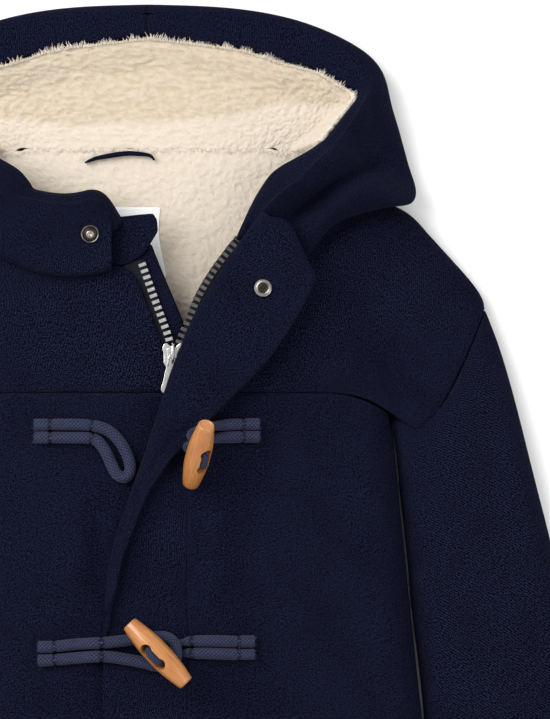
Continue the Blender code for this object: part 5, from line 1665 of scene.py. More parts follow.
def make_stage(settings):
    """Pale floor, soft studio light and the camera over the coat."""
    bpy.ops.mesh.primitive_plane_add(size=6.0, location=(0.0, 0.0, -0.0006))
    floor = bpy.context.object
    floor.name = FLOOR
    made, _, shader = new_finish("pale floor")
    set_shader(shader, Base_Color=rgba((0.93, 0.93, 0.93)), Roughness=0.85, Specular_IOR_Level=0.1)
    floor.data.materials.append(made)

    def soft_light(name, place_at, aim, power, size, colour=(1.0, 1.0, 1.0)):
        lamp = bpy.data.lights.new(name, "AREA")
        lamp.shape, lamp.size, lamp.energy, lamp.color = "SQUARE", size, power, colour
        item = bpy.data.objects.new(name, lamp)
        item.location = place_at
        item.rotation_euler = (Vector(aim) - Vector(place_at)).to_track_quat("-Z", "Y").to_euler()
        bpy.context.scene.collection.objects.link(item)

    middle = (0.06, 0.10, 0.02)
    soft_light("key", (-0.95, 0.75, 1.25), middle, settings.key_power, 1.3)
    soft_light("fill", (1.15, -0.35, 1.35), middle, settings.fill_power, 1.6)
    world = bpy.data.worlds.new("soft room")
    world.use_nodes = True
    world.node_tree.nodes["Background"].inputs["Color"].default_value = (1.0, 1.0, 1.0, 1.0)
    world.node_tree.nodes["Background"].inputs["Strength"].default_value = settings.room_light
    bpy.context.scene.world = world
    data = bpy.data.cameras.new("camera")
    data.lens, data.sensor_width, data.clip_start = 300.0, 36.0, 0.05
    camera = bpy.data.objects.new("camera", data)
    camera.location = CAMERA_AT
    scene = bpy.context.scene
    scene.collection.objects.link(camera)
    scene.camera = camera
    scene.view_settings.view_transform = "Standard"


# ---------------------------------------------------------------- cords, thread and loop

def dense_path(rows, step):
    """Points about a step apart, in millimetres, on the smooth curve through rows of (x, y, z, radius)."""
    marks = np.linspace(0.0, len(rows) - 1.0, 40 * len(rows))
    fine = np.array([spline(rows, mark) for mark in marks])
    lengths = run_lengths(fine[:, :3])
    places = np.linspace(0.0, lengths[-1], max(4, int(lengths[-1] / step)))
    return np.stack([np.interp(places, lengths, fine[:, k]) for k in range(4)], axis=1), places


def frames_along(points):
    """Side and up vectors along a path, carried on without twist."""
    runs = np.gradient(points, axis=0)
    runs /= np.linalg.norm(runs, axis=1)[:, None]
    up = np.array((0.0, 0.0, 1.0))
    if abs(runs[0] @ up) > 0.9:
        up = np.array((1.0, 0.0, 0.0))
    ups = []
    for run in runs:
        up = up - run * (up @ run)
        up /= np.linalg.norm(up)
        ups.append(up)
    ups = np.array(ups)
    return np.cross(runs, ups), ups


def swept(name, rows, finish, sides, step, section):
    """A tube along rows; section(angle, place, point) gives its reach sideways and up, and its hollows."""
    path, places = dense_path(rows, step)
    side_ways, up_ways = frames_along(path[:, :3])
    angle = np.linspace(0.0, 2.0 * math.pi, sides, endpoint=False)
    reach, rise, hollow = section(angle[None, :], places[:, None], path[:, None, :])
    points = (path[:, None, :3] + side_ways[:, None, :] * (reach * path[:, None, 3])[..., None]
              + up_ways[:, None, :] * (rise * path[:, None, 3])[..., None])
    rings = len(path)
    uv = np.stack(np.broadcast_arrays(angle[None, :] * path[:, 3:4], places[:, None]), axis=2) * MM
    vertices = list(points.reshape(-1, 3) * MM)
    uvs = list(uv.reshape(-1, 2))
    hollows = list(np.broadcast_to(hollow, reach.shape).reshape(-1))
    faces = tube_faces(0, rings, sides)
    for ring, turn in ((0, -1), (rings - 1, 1)):
        centre = len(vertices)
        outward = path[ring, :3] - path[ring - turn, :3]
        outward = outward / np.linalg.norm(outward) * 0.5
        vertices.append((path[ring, :3] + outward) * MM)
        uvs.append(uvs[ring * sides])
        # a little painted shade at the middle of each end
        hollows.append(0.3)
        for k in range(sides):
            a, b = ring * sides + k, ring * sides + (k + 1) % sides
            faces.append((a, b, centre)[::turn])
    item = new_object(name, vertices, faces, finish, np.array(uvs))
    turn_outwards(item)
    add_depth(item, np.array(hollows))
    return item


PLAIT_STRANDS = 9      # in each of the two directions
PLAIT_PITCH = 2.0      # along the cord, of one crossing
FRAYED_YARNS = 26      # at each cut end
CORD_SIDES, CORD_STEP = 40, 0.48   # points round a cord, and how far apart its rings are


def plait_section(tacks, flat_ends):
    """Section of plaited cord, pinched at its tacks and pressed where it is sewn down."""
    def section(angle, place_of, point):
        p = PLAIT_STRANDS * angle / (2.0 * math.pi) + place_of / PLAIT_PITCH
        q = PLAIT_STRANDS * angle / (2.0 * math.pi) - place_of / PLAIT_PITCH
        fp, fq = p % 1.0, q % 1.0
        first_over = (np.floor(p) + np.floor(q)) % 2.0 < 0.5
        across = np.where(first_over, fp, fq)
        over_length = np.where(first_over, fq, fp)
        crown = np.sin(math.pi * across) ** 0.7 * (0.45 + 0.55 * np.sin(math.pi * over_length))
        fine = 0.05 * np.sin(3.0 * 2.0 * math.pi * across)
        pinch = np.zeros_like(place_of)
        x = point[..., 0]
        for tack in tacks:
            pinch = pinch + np.exp(-((x - tack) / 0.8) ** 2)
        pressed = np.zeros_like(x)
        for edge, way in flat_ends:
            pressed = np.maximum(pressed, np.clip((x - edge) * way / 1.5, 0.0, 1.0))
        body_of = 0.86 + 0.14 * crown - 0.17 * np.clip(pinch, 0.0, 1.0)
        reach = np.cos(angle) * body_of * (1.0 + 0.04 * pressed)
        rise = np.sin(angle) * body_of * (1.0 - 0.10 * pressed)
        # how much painted shade: deep between the strands and at the tacks' pinches
        hollow = np.minimum(1.0, 1.3 * (1.0 - crown)) + 0.7 * np.clip(pinch, 0.0, 1.0) - fine
        return reach, rise, hollow
    return section


def fray(name, ends, finish, seed):
    """Short loose yarn ends at the cut ends of a cord; each end is a point and a way out."""
    chance = random.Random(seed)
    vertices, faces = [], []
    for point, way in ends:
        for _ in range(FRAYED_YARNS):
            start = Vector(point) + Vector((0.0, chance.uniform(-2.6, 2.6), chance.uniform(-2.0, 1.8)))
            go = Vector((way[0], way[1] + chance.uniform(-0.9, 0.9), chance.uniform(-0.5, 0.3))).normalized()
            bend = Vector((chance.uniform(-0.3, 0.3), chance.uniform(-0.6, 0.6), chance.uniform(-0.3, 0.2)))
            length = chance.uniform(0.5, 1.7)
            add_lock(vertices, faces, [start + go * length * s + bend * s ** 2 for s in LOCK_STEPS],
                     [0.11 * (1.0 - 0.7 * s) for s in LOCK_STEPS], Vector((0.0, 1.0, 0.0)), Vector((0.0, 0.0, 1.0)))
    points = np.array([tuple(v) for v in vertices])
    item = new_object(name, points, faces, finish, points[:, :2])
    # a slight painted shade over the loose yarns
    add_depth(item, np.full(len(vertices), 0.1))
    finish_piece(item, "navy_braid")
    return item


def cord_ways():
    """Rows of every cord and where it is tacked and cut."""
    ways = {"loop_cord_1": (raised(OPEN_LOOP, front_top), (-48.3, -27.6), ((-48.3, -1.0),), -56.0)}
    for number, row in enumerate(TOGGLES, start=1):
        over = front_top if number == 1 else fastened_top
        strands = OPEN_STRANDS if number == 1 else SHUT_STRANDS
        shift = row[0]
        sides = [raised(strand, over, shift) for strand in strands]
        through = slot_path(*frame_of(row, over))
        if number > 1:
            through.reverse()
            ways["loop_cord_%d" % number] = (raised(SHUT_LOOP, over, shift), (-46.2, -22.6), ((-46.2, -1.0),), -54.0)
        tacks, cut = ((48.0,), 56.0) if number == 1 else ((45.6, 22.6), 53.5)
        ways["toggle_cord_%d" % number] = (sides[0] + through + sides[1][::-1], tacks, ((tacks[0], 1.0),), cut)
    return ways


def make_cords():
    """Plaited loop cords and toggle cords, tacked down, with frayed cut ends."""
    for number, (name, (rows, tacks, flat_ends, cut)) in enumerate(cord_ways().items()):
        item = swept(name, rows, FINISHES["braid"], CORD_SIDES, CORD_STEP, plait_section(tacks, flat_ends))
        finish_piece(item, "navy_braid", name)
        way = (-1.0, 0.0) if cut < 0.0 else (1.0, 0.0)
        ends = [((row[0], row[1], row[2]), way) for row in (rows[0], rows[-1])]
        fray(name + "_fray", ends, FINISHES["braid"], 40 + number)


def squared(angle, power):
    """How far a round section is pushed out towards a square with soft corners."""
    return (np.abs(np.cos(angle)) ** power + np.abs(np.sin(angle)) ** power) ** (-1.0 / power)


def make_hanger_loop():
    """Folded tape between the hood's lining and the neck's."""
    rows = [(x, y, LINING_TOP_Z + SEAM + 1.6, 1.5) for x, y in HANGER_LOOP]

    def section(angle, place_of, point):
        square = squared(angle, 4)
        rib = 0.03 * np.sin(place_of * 7.0)
        middle = np.sin(math.pi * np.clip((place_of - 1.0) / (place_of.max() - 2.0), 0.0, 1.0)) ** 0.5
        reach = np.cos(angle) * square * (0.35 + 0.48 * middle + rib)
        rise = np.sin(angle) * square * (0.95 + rib)
        return reach, rise, np.clip(0.3 - 6.0 * rib, 0.0, 1.0) + 0.0 * angle

    item = swept("hanger_loop", rows, FINISHES["wool_flap"], 24, 0.25, section)
    finish_piece(item, "navy_wool", "hanger_loop")


# ---------------------------------------------------------------- hard pieces

def turned_piece(name, profile, sides, finish):
    """A turned solid: a disc extruded and resized ring by ring; profile holds (radius, height)."""
    bpy.ops.object.select_all(action="DESELECT")
    radius, height = profile[0]
    bpy.ops.mesh.primitive_circle_add(vertices=sides, radius=radius * MM, fill_type="NGON",
                                      location=(0.0, 0.0, height * MM))
    item = bpy.context.object
    item.name = item.data.name = name
    bpy.ops.object.transform_apply(location=True, rotation=True, scale=True)
    bpy.ops.object.mode_set(mode="EDIT")
    bpy.ops.mesh.select_all(action="SELECT")
    for (old_radius, old_height), (new_radius, new_height) in zip(profile, profile[1:]):
        bpy.ops.mesh.extrude_region_move(
            TRANSFORM_OT_translate={"value": (0.0, 0.0, (new_height - old_height) * MM)})
        share = new_radius / old_radius
        bpy.ops.transform.resize(value=(share, share, 1.0), center_override=(0.0, 0.0, new_height * MM))
    bpy.ops.mesh.select_all(action="SELECT")
    bpy.ops.mesh.normals_make_consistent(inside=False)
    bpy.ops.object.mode_set(mode="OBJECT")
    item.data.materials.append(finish)
    return item


def cut_with_rod(item, start, stop, radius, sides=40):
    """Takes a round rod between two points, in millimetres, out of the piece."""
    start, stop = Vector(start) * MM, Vector(stop) * MM
    bpy.ops.object.select_all(action="DESELECT")
    bpy.ops.mesh.primitive_cylinder_add(vertices=sides, radius=radius * MM, depth=(stop - start).length,
                                        location=(start + stop) / 2,
                                        rotation=(stop - start).to_track_quat("Z", "Y").to_euler())
    rod = bpy.context.object
    step = item.modifiers.new("bore", "BOOLEAN")
    step.operation, step.solver, step.object = "DIFFERENCE", "EXACT", rod
    apply_modifiers(item)
    bpy.data.objects.remove(rod, do_unlink=True)


def soften(item, width, segments, angle=35.0):
    """Rounds the piece's sharp edges."""
    step = item.modifiers.new("round", "BEVEL")
    step.width, step.segments, step.limit_method = width * MM, segments, "ANGLE"
    step.angle_limit = math.radians(angle)
    step.use_clamp_overlap = True
    apply_modifiers(item)
    only(item)
    bpy.ops.object.shade_smooth_by_angle(angle=math.radians(32.0))


def settle(item, middle, axis, mark=False):
    """Turns the piece's Z onto an axis, moves it to a point in millimetres and applies both."""
    if mark:
        layer = item.data.attributes.new("grain", "FLOAT_VECTOR", "POINT")
        layer.data.foreach_set("vector", points_of(item).astype(np.float32).ravel())
    turn = Vector(axis).to_track_quat("Z", "Y").to_matrix().to_4x4()
    item.matrix_world = Matrix.Translation(Vector(middle) * MM) @ turn
    only(item)
    bpy.ops.object.transform_apply(location=True, rotation=True, scale=True)


def make_toggles():
    """Turned wooden toggles, bored twice, with a groove between the bores."""
    half, end, belly = TOGGLE_LENGTH / 2, TOGGLE_END / 2, TOGGLE_BELLY / 2
    for number, row in enumerate(TOGGLES, start=1):
        over = front_top if number == 1 else fastened_top
        middle, axis, slot = frame_of(row, over)
        name = "toggle_%d" % number
        profile = [(end - 1.1, -half + 0.28), (end - 0.75, -half + 0.02), (end - 0.3, -half), (end, -half + 0.3)]
        for step in range(1, 24):
            height = mix(-half + 0.3, half - 0.3, step / 24)
            share = abs(height) / half
            bulge = 1.0 - max(0.0, (share - 0.18) / 0.82) ** 1.55
            profile.append((mix(end, belly, bulge), height))
        profile += [(end, half - 0.3), (end - 0.3, half), (end - 0.75, half - 0.02), (end - 1.1, half - 0.28)]
        item = turned_piece(name, profile, 56, FINISHES["wood"])
        turn = Vector(axis).to_track_quat("Z", "Y").to_matrix()
        out = turn.transposed() @ slot
        for place_of in (HOLE_HALF, -HOLE_HALF):
            at = Vector((0.0, 0.0, place_of))
            cut_with_rod(item, at - out * BORE_REACH, at + out * BORE_REACH, HOLE_RADIUS)
        at = Vector((0.0, 0.0, HOLE_HALF))
        cut_with_rod(item, out * GROOVE_OUT - at, out * GROOVE_OUT + at, GROOVE_RADIUS)
        soften(item, 0.32, 3, 40.0)
        settle(item, middle, axis, mark=True)
        finish_piece(item, "varnished_wood", name)


def flat_plate(name, outlines, thickness, rounding, finish):
    """A plate with rounded edges from closed plan outlines; the second one is its hole."""
    curve = bpy.data.curves.new(name, "CURVE")
    curve.dimensions = "2D"
    curve.fill_mode = "BOTH"
    curve.extrude = (thickness / 2 - rounding) * MM
    curve.bevel_depth, curve.bevel_resolution = rounding * MM, 3
    curve.offset = -rounding * MM
    for outline in outlines:
        line = curve.splines.new("BEZIER")
        line.use_cyclic_u = True
        line.resolution_u = 6
        line.bezier_points.add(len(outline) - 1)
        for knot, (x, y) in zip(line.bezier_points, outline):
            knot.co = (x * MM, y * MM, 0.0)
            knot.handle_left_type = knot.handle_right_type = "AUTO"
    item = bpy.data.objects.new(name, curve)
    bpy.context.scene.collection.objects.link(item)
    only(item)
    bpy.ops.object.convert(target="MESH")
    item = bpy.context.object
    bpy.ops.object.mode_set(mode="EDIT")
    bpy.ops.mesh.select_all(action="SELECT")
    bpy.ops.mesh.remove_doubles(threshold=1e-6)
    bpy.ops.mesh.normals_make_consistent(inside=False)
    bpy.ops.object.mode_set(mode="OBJECT")
    bpy.ops.object.shade_smooth_by_angle(angle=math.radians(40.0))
    item.data.materials.clear()
    item.data.materials.append(finish)
    return item


def join_pieces(name, items):
    """Joins the objects into the first one and names it."""
    only(items[0])
    for item in items:
        item.select_set(True)
    if len(items) > 1:
        bpy.ops.object.join()
    items[0].name = items[0].data.name = name
    return items[0]


def tooth_shape():
    """One zip tooth: a rounded block with a dimpled head, reaching along +X towards its partner."""
    bpy.ops.object.select_all(action="DESELECT")
    bpy.ops.mesh.primitive_cube_add(size=1.0)
    tooth = bpy.context.object
    bpy.ops.transform.resize(value=[size * MM for size in TOOTH], center_override=(0.0, 0.0, 0.0))
    bpy.ops.object.transform_apply(location=True, rotation=True, scale=True)
    bpy.ops.object.mode_set(mode="EDIT")
    bpy.ops.mesh.select_mode(type="FACE")
    bpy.ops.mesh.select_all(action="SELECT")
    bpy.ops.mesh.subdivide(number_cuts=2)
    bpy.ops.mesh.select_all(action="DESELECT")
    bpy.ops.object.mode_set(mode="OBJECT")
    for face in tooth.data.polygons:
        face.select = face.normal.z > 0.9 and 0.0 < face.center.x and abs(face.center.y) < 0.4 * MM
    bpy.ops.object.mode_set(mode="EDIT")
    bpy.ops.mesh.inset(thickness=0.12 * MM, depth=0.0)
    bpy.ops.mesh.extrude_region_move(TRANSFORM_OT_translate={"value": (0.0, 0.0, 0.28 * MM)})
    bpy.ops.mesh.inset(thickness=0.10 * MM, depth=0.0)
    bpy.ops.mesh.select_all(action="DESELECT")
    bpy.ops.object.mode_set(mode="OBJECT")
    soften(tooth, 0.22, 1, 50.0)
    # painted shade: each tooth darkens towards its base, between its neighbours
    add_depth(tooth, (0.95 - points_of(tooth)[:, 2] / MM) / 0.9)
    return tooth


def teeth_places(side, start, pitch, first):
    """Middle and direction across the zip of each tooth of one tape, in millimetres."""
    rows = TEETH[side]
    marks = np.linspace(0.0, 1.0, 900)
    line = np.array([along(rows, mark)[:2] for mark in marks])
    lengths = run_lengths(line)
    places = []
    distance = start + first
    while distance < lengths[-1] - 1.0:
        x, y = (float(np.interp(distance, lengths, line[:, k])) for k in (0, 1))
        ahead = [float(np.interp(distance + 0.5, lengths, line[:, k])) for k in (0, 1)]
        run = Vector((ahead[0] - x, ahead[1] - y)).normalized()
        across = Vector((-side * run.y, side * run.x)) * -1.0
        places.append((x, y, across))
        distance += pitch
    return places


def open_tape(side):
    """The zip's tape, reaching under the heads of its teeth where the zip is open."""
    plain = tape(side)

    def surface(u, v):
        x, y, z = plain(u, v)
        edge_x, edge_y, _ = plain(0.0, v)
        out_x, out_y, _ = plain(1.0, v)
        push = 2.3 * (1.0 - u) * smooth((edge_y - 124.0) / 12.0) / math.dist((edge_x, edge_y), (out_x, out_y))
        return x - (out_x - edge_x) * push, y - (out_y - edge_y) * push, z

    return surface


def make_zip(settings):
    """Zip: woven tapes, metal teeth, slider with its bridge, and the pull tab through it."""
    nickel = FINISHES["nickel"]
    for side, word in SIDES:
        cloth("zip_tape_" + word, open_tape(side), 3, 60, TAPE, FINISHES["tape"], "navy_wool",
              inside=-float(side), levels=1)
        template, copies = tooth_shape(), []
        template.data.materials.clear()
        # the left teeth take the darker nickel, painted shade
        template.data.materials.append(nickel if side == RIGHT else FINISHES["dim_nickel"])
        pitch = settings.tooth_pitch / MM
        for x, y, across in teeth_places(side, 1.5, pitch, 0.0 if side == LEFT else pitch / 2):
            if math.dist((x, y), SLIDER_SPOT) < 5.5 or SLIDER_SPOT[1] - 9.0 < y < SLIDER_SPOT[1]:
                continue
            copy = template.copy()
            copy.data = template.data.copy()
            bpy.context.scene.collection.objects.link(copy)
            z = body_top(x, y) - WOOL - 0.4 - TAPE / 2 + float(relief(x, y))
            turn = Matrix.Rotation(math.atan2(across.y, across.x), 4, "Z")
            wide = Matrix.Scale(1.22 if y > SLIDER_SPOT[1] else 1.0, 4, (0.0, 1.0, 0.0))
            spot = Vector((x + across.x * TOOTH_SHIFT, y + across.y * TOOTH_SHIFT, z)) * MM
            copy.matrix_world = Matrix.Translation(spot) @ turn @ wide
            copies.append(copy)
        bpy.data.objects.remove(template, do_unlink=True)
        teeth = join_pieces("zip_teeth_" + word, copies)
        only(teeth)
        bpy.ops.object.transform_apply(location=True, rotation=True, scale=True)
        finish_piece(teeth, "nickel")
    slider_piece(nickel)
    pull_piece(nickel)


def slider_piece(nickel):
    """Slider: a waisted plate with two shoulders and the bridge that the pull tab hangs from."""
    x, y = SLIDER_SPOT
    ground = body_top(x, y)
    outline = [(x + a, y + b) for a, b in SLIDER] + [(x - a, y + b) for a, b in reversed(SLIDER[1:])]
    plate_of = flat_plate("slider_plate", [outline], 1.6, 0.4, nickel)
    set_points(plate_of, points_of(plate_of) + (0.0, 0.0, (ground + 1.2) * MM))
    ridge = [(x + a * 0.62, y + b * 0.62 - 0.6) for a, b in SLIDER]
    ridge += [(x - a * 0.62, y + b * 0.62 - 0.6) for a, b in reversed(SLIDER[1:])]
    raised_of = flat_plate("slider_ridge", [ridge], 0.7, 0.2, nickel)
    set_points(raised_of, points_of(raised_of) + (0.0, 0.0, (ground + 2.2) * MM))
    arch = [(13.1, 122.6, 1.2), (13.1, 122.3, 3.6), (13.08, 121.5, 5.0), (13.0, 119.0, 5.35), (12.95, 116.3, 5.2),
            (12.9, 114.9, 4.2), (12.88, 114.2, 1.4)]
    rows = [(a, b, ground + c, 1.2) for a, b, c in arch]

    def section(angle, place_of, point):
        square, every = squared(angle, 5), 0.0 * place_of
        return np.cos(angle) * square + every, np.sin(angle) * square * 0.62 + every, every * angle

    bridge = swept("slider_bridge", rows, nickel, 28, 0.2, section)
    item = join_pieces("zip_slider", [plate_of, raised_of, bridge])
    finish_piece(item, "nickel", "zip_slider")


def pull_piece(nickel):
    """Pull tab: a plain plate with a square eye for the bridge."""
    top, end = Vector(PULL_TOP), Vector(PULL_END)
    down = (end - top).normalized()
    side_way = Vector((-down.y, down.x))
    half, length = PULL_ACROSS[-1], PULL_ALONG[-1]

    def on_plan(points):
        return [tuple(top + side_way * a + down * b) for a, b in points]

    outline = on_plan([(-half + 0.5, 0.05), (0.0, 0.0), (half - 0.5, 0.05), (half - 0.05, 0.8), (half - 0.1, 6.0),
                       (half - 0.1, 14.0), (half - 0.3, length - 0.6), (0.0, length), (-half + 0.3, length - 0.6),
                       (-half, 14.0), (-half, 6.0), (-half + 0.05, 0.8)])
    wide, low, high = PULL_ACROSS[2], PULL_ALONG[1], PULL_ALONG[2]
    waist = (low + high) / 2
    eye = on_plan([(-wide, low + 0.3), (0.0, low), (wide, low + 0.3), (wide + 0.05, waist),
                   (wide, high - 0.3), (0.0, high), (-wide, high - 0.3), (-wide - 0.05, waist)])
    item = flat_plate("zip_pull", [outline, eye], 1.0, 0.25, nickel)
    points = points_of(item)
    ground = body_top(*PULL_TOP)
    share = (PULL_TOP[1] - points[:, 1] / MM) / (PULL_TOP[1] - PULL_END[1])
    points[:, 2] += (ground + 2.5 - 1.3 * share + 0.5) * MM
    set_points(item, points)
    finish_piece(item, "nickel", "zip_pull")


def make_snap():
    """Both halves of the snap: a stud on the collar's end and a socket inside the flap."""
    r = SNAP_DIAMETER / 2 - 0.2
    stud = [(0.3, 0.02), (r - 0.2, 0.0), (r, 0.22), (r - 0.1, 0.8), (r - 0.4, 1.15), (r - 0.75, 1.05), (r - 1.0, 0.6),
            (r - 1.4, 0.35), (2.7, 0.35), (2.3, 0.5), (1.95, 1.5), (2.0, 2.2), (2.1, 2.6), (1.95, 2.92), (1.5, 3.08),
            (0.7, 3.1), (0.5, 2.9), (0.25, 2.8)]
    socket = [(0.3, 0.02), (r - 0.2, 0.0), (r, 0.3), (r - 0.05, 0.9), (r - 0.4, 1.25), (r - 0.9, 1.12),
              (r - 1.3, 1.2), (r - 1.7, 1.55), (3.0, 1.68), (2.7, 1.6), (2.5, 1.3), (2.35, 0.9), (2.0, 0.8),
              (1.2, 0.78), (1.1, 0.62), (0.4, 0.6)]
    for name, profile, surface, spot in (("snap_stud", stud, hood(RIGHT), SNAP_STUD_AT),
                                         ("snap_socket", socket, flap, SNAP_SOCKET_AT)):
        point, normal = spot_on(surface, *spot)
        item = turned_piece(name, profile, 64, FINISHES["silver"])
        only(item)
        bpy.ops.object.shade_smooth_by_angle(angle=math.radians(50.0))
        points = points_of(item) / MM
        out = np.hypot(points[:, 0], points[:, 1])
        low, high = (2.15, r - 0.85) if name == "snap_stud" else (0.0, 2.45)
        add_depth(item, ((out > low) & (out < high) & (points[:, 2] > 0.1)).astype(float) * 0.9)
        settle(item, point + normal * SNAP_LIFT, normal)
        finish_piece(item, "old_silver", name)


# ---------------------------------------------------------------- thread

def ground_under(items):
    """A function that drops a plan point, in millimetres, on the pieces: point and normal."""
    trees = []
    for item in items:
        mesh = item.data
        trees.append(BVHTree.FromPolygons([tuple(v.co) for v in mesh.vertices],
                                          [tuple(p.vertices) for p in mesh.polygons]))

    def drop(x, y):
        best = None
        for tree in trees:
            hit, normal, _, _ = tree.ray_cast(Vector((x * MM, y * MM, 0.2)), Vector((0.0, 0.0, -1.0)))
            if hit is not None and (best is None or hit.z > best[0].z):
                best = (hit, normal)
        return best

    return drop


def stitches(name, lines, drop, finish, slot, length=2.3, gap=0.9, size=0.30):
    """Stitches of thread along plan lines, in millimetres, sunk by half into the cloth."""
    vertices, faces = [], []
    sides, rings = 6, 5
    for line in lines:
        line = np.array(line, float)
        lengths = run_lengths(line)
        distance = gap
        while distance + length < lengths[-1]:
            ends = []
            for at in (distance, distance + length):
                ends.append([float(np.interp(at, lengths, line[:, k])) for k in (0, 1)])
            hits = [drop(*spot) for spot in ends]
            distance += length + gap
            if None in hits or abs(hits[0][0].z - hits[1][0].z) > 1.5 * MM:
                continue
            (start, normal), (stop, _) = hits
            run = (stop - start).normalized()
            up = (normal - run * normal.dot(run)).normalized()
            side_way = run.cross(up)
            base = len(vertices)
            for ring in range(rings):
                share = ring / (rings - 1)
                arch = math.sin(math.pi * share)
                middle = start.lerp(stop, share) + up * (arch * 1.1 - 0.55) * size * MM
                thick = size * (0.35 + 0.65 * arch ** 0.5) * MM
                for k in range(sides):
                    turn = 2.0 * math.pi * k / sides
                    vertices.append(middle + (side_way * math.cos(turn) + up * math.sin(turn)) * thick)
            faces += tube_faces(base, rings, sides)
            faces.append(tuple(base + k for k in reversed(range(sides))))
            faces.append(tuple(base + (rings - 1) * sides + k for k in range(sides)))
    if not vertices:
        raise RuntimeError("%s: no stitch lies on its cloth" % name)
    points = np.array([tuple(v) for v in vertices])
    item = new_object(name, points, faces, finish, points[:, :2])
    turn_outwards(item)
    finish_piece(item, slot)


def make_stitching():
    """Topstitching of the flap, the armholes on the yokes, hem and cuffs, the cords' tacks and the label's margin."""
    thread = FINISHES["wool_thread"]
    flap_lines = [[flap_edge_inset(v) for v in np.linspace(first, last, 200)]
                  for first, last in ((0.002, 0.53), (0.77, 0.998))]
    for line in flap_lines:
        press_groove(DRESSED["flap"], line[::3], 1.2, 0.8)
    top = ground_under([DRESSED["flap"]])
    stitches("flap_stitching", flap_lines, top, thread, "navy_wool")
    arms = []
    for side in (RIGHT, LEFT):
        line = []
        for share in np.linspace(0.36, 0.98, 60):
            x, y, _ = sleeve_line(0.0, share)
            line.append((side * (x - 3.3), y + 0.4 + 0.8 * (1.0 - share)))
        arms.append(line)
    tops = ground_under([DRESSED["yoke_left"], DRESSED["yoke_right"]])
    stitches("armhole_stitching", arms, tops, thread, "navy_wool")
    hems = []
    for side in (RIGHT, LEFT):
        xs = np.linspace(LOWER_EDGE[side] + 8.0, half_width(HEM_Y) - 10.0, 80)
        hems.append([(side * x, HEM_Y + 20.0) for x in xs])
    cuffs = []
    for side in (RIGHT, LEFT):
        line = []
        for share in np.linspace(0.16, 0.84, 40):
            x, y, _ = sleeve_line(len(SLEEVE) - 1.35, share)
            line.append((side * x, y))
        cuffs.append(line)
    below = ground_under([DRESSED[name] for name in ("front_left", "front_right", "sleeve_left", "sleeve_right")])
    stitches("hem_stitching", hems + cuffs, below, thread, "navy_wool")
    over_cords = ground_under([item for name, item in DRESSED.items() if "cord" in name])
    lines = []
    tacks = OPEN_TACKS + tuple((x, y + row[0], reach) for row in TOGGLES[1:] for x, y, reach in SHUT_TACKS)
    for x, y, reach in tacks:
        for shift in (-0.45, 0.0, 0.45):
            lines.append([(x + shift, y + reach), (x + shift + 0.2, y), (x + shift, y - reach)])
    stitches("cord_tacks", lines, over_cords, FINISHES["braid_thread"], "navy_braid", 1.5, 0.25, 0.24)
    label_ground = ground_under([DRESSED["label"]])
    margin = [[(LABEL_LEFT_X + 1.2, 190.6), (5.0, 190.8)], [(4.2, 190.0), (3.9, 180.0), (5.2, 168.0), (7.4, 157.5)]]
    stitches("label_stitching", margin, label_ground, FINISHES["satin"], "white_satin", 1.6, 0.8, 0.16)


def press_groove(item, line, width, depth):
    """Press a soft groove along a plan line, in millimetres, into the top of a piece."""
    points, up = points_of(item) / MM, normals_of(item)[:, 2]
    best = np.full(len(points), 1e9)
    for first, second in zip(line, line[1:]):
        start, run = np.array(first), np.array(second) - np.array(first)
        share = np.clip(((points[:, :2] - start) @ run) / max(1e-9, run @ run), 0.0, 1.0)
        best = np.minimum(best, np.sum((points[:, :2] - start - share[:, None] * run) ** 2, axis=1))
    points[:, 2] -= depth * np.exp(-best / width ** 2) * np.clip(up * 2.0, 0.0, 1.0)
    set_points(item, points * MM)


STITCH_INSET = 6.0     # from the flap's free edge to its stitch line


def flap_edge_inset(v):
    """Plan point of the flap's stitch line."""
    line = [Vector(flap(u, v)) for u in np.linspace(1.0, 0.3, 90)]
    distance = 0.0
    for first, second in zip(line, line[1:]):
        distance += (second - first).length
        if distance >= STITCH_INSET:
            return second.x, second.y
    return line[-1].x, line[-1].y


# ---------------------------------------------------------------- add-on

COLOUR = {"subtype": "COLOR", "size": 3, "min": 0.0, "max": 1.0}


class ClothSettings(bpy.types.PropertyGroup):
    """Colours and sizes of the cloth."""
    wool_colour: bpy.props.FloatVectorProperty(
        name="Wool", description="Ground colour of the navy wool",
        default=(0.0003, 0.0005, 0.0026), **COLOUR)
    fleck_colour: bpy.props.FloatVectorProperty(
        name="Fleck", description="Colour of the raised fibres",
        default=(0.0148, 0.0162, 0.0410), **COLOUR)
    pile_colour: bpy.props.FloatVectorProperty(
        name="Pile", description="Colour of the pile lining",
        default=(0.575, 0.495, 0.395), **COLOUR)
    pile_depth: bpy.props.FloatProperty(
        name="Pile depth", description="Height of the pile's curls", subtype="DISTANCE", default=0.0016,
        min=0.0002, max=0.004)
    curl_size: bpy.props.FloatProperty(
        name="Curl", description="Spacing of the pile's curls", subtype="DISTANCE", default=0.0022,
        min=0.001, max=0.01)


class FasteningSettings(bpy.types.PropertyGroup):
    """Colours and sizes of the fastenings."""
    cord_colour: bpy.props.FloatVectorProperty(
        name="Cord", description="Colour of the plaited cord",
        default=(0.0300, 0.0360, 0.0760), **COLOUR)
    wood_colour: bpy.props.FloatVectorProperty(
        name="Wood", description="Colour of the toggles",
        default=(0.50, 0.215, 0.062), **COLOUR)
    tooth_pitch: bpy.props.FloatProperty(
        name="Tooth pitch", description="From one tooth to the next on a tape", subtype="DISTANCE",
        default=0.0033, min=0.002, max=0.006)


class StageSettings(bpy.types.PropertyGroup):
    """Light round the coat."""
    key_power: bpy.props.FloatProperty(
        name="Key", description="Power of the key light", subtype="POWER", default=36.0, min=0.0, max=500.0)
    fill_power: bpy.props.FloatProperty(
        name="Fill", description="Power of the fill light", subtype="POWER", default=14.0, min=0.0, max=500.0)
    room_light: bpy.props.FloatProperty(
        name="Room", description="Strength of the light all round", default=0.62, min=0.0, max=5.0)


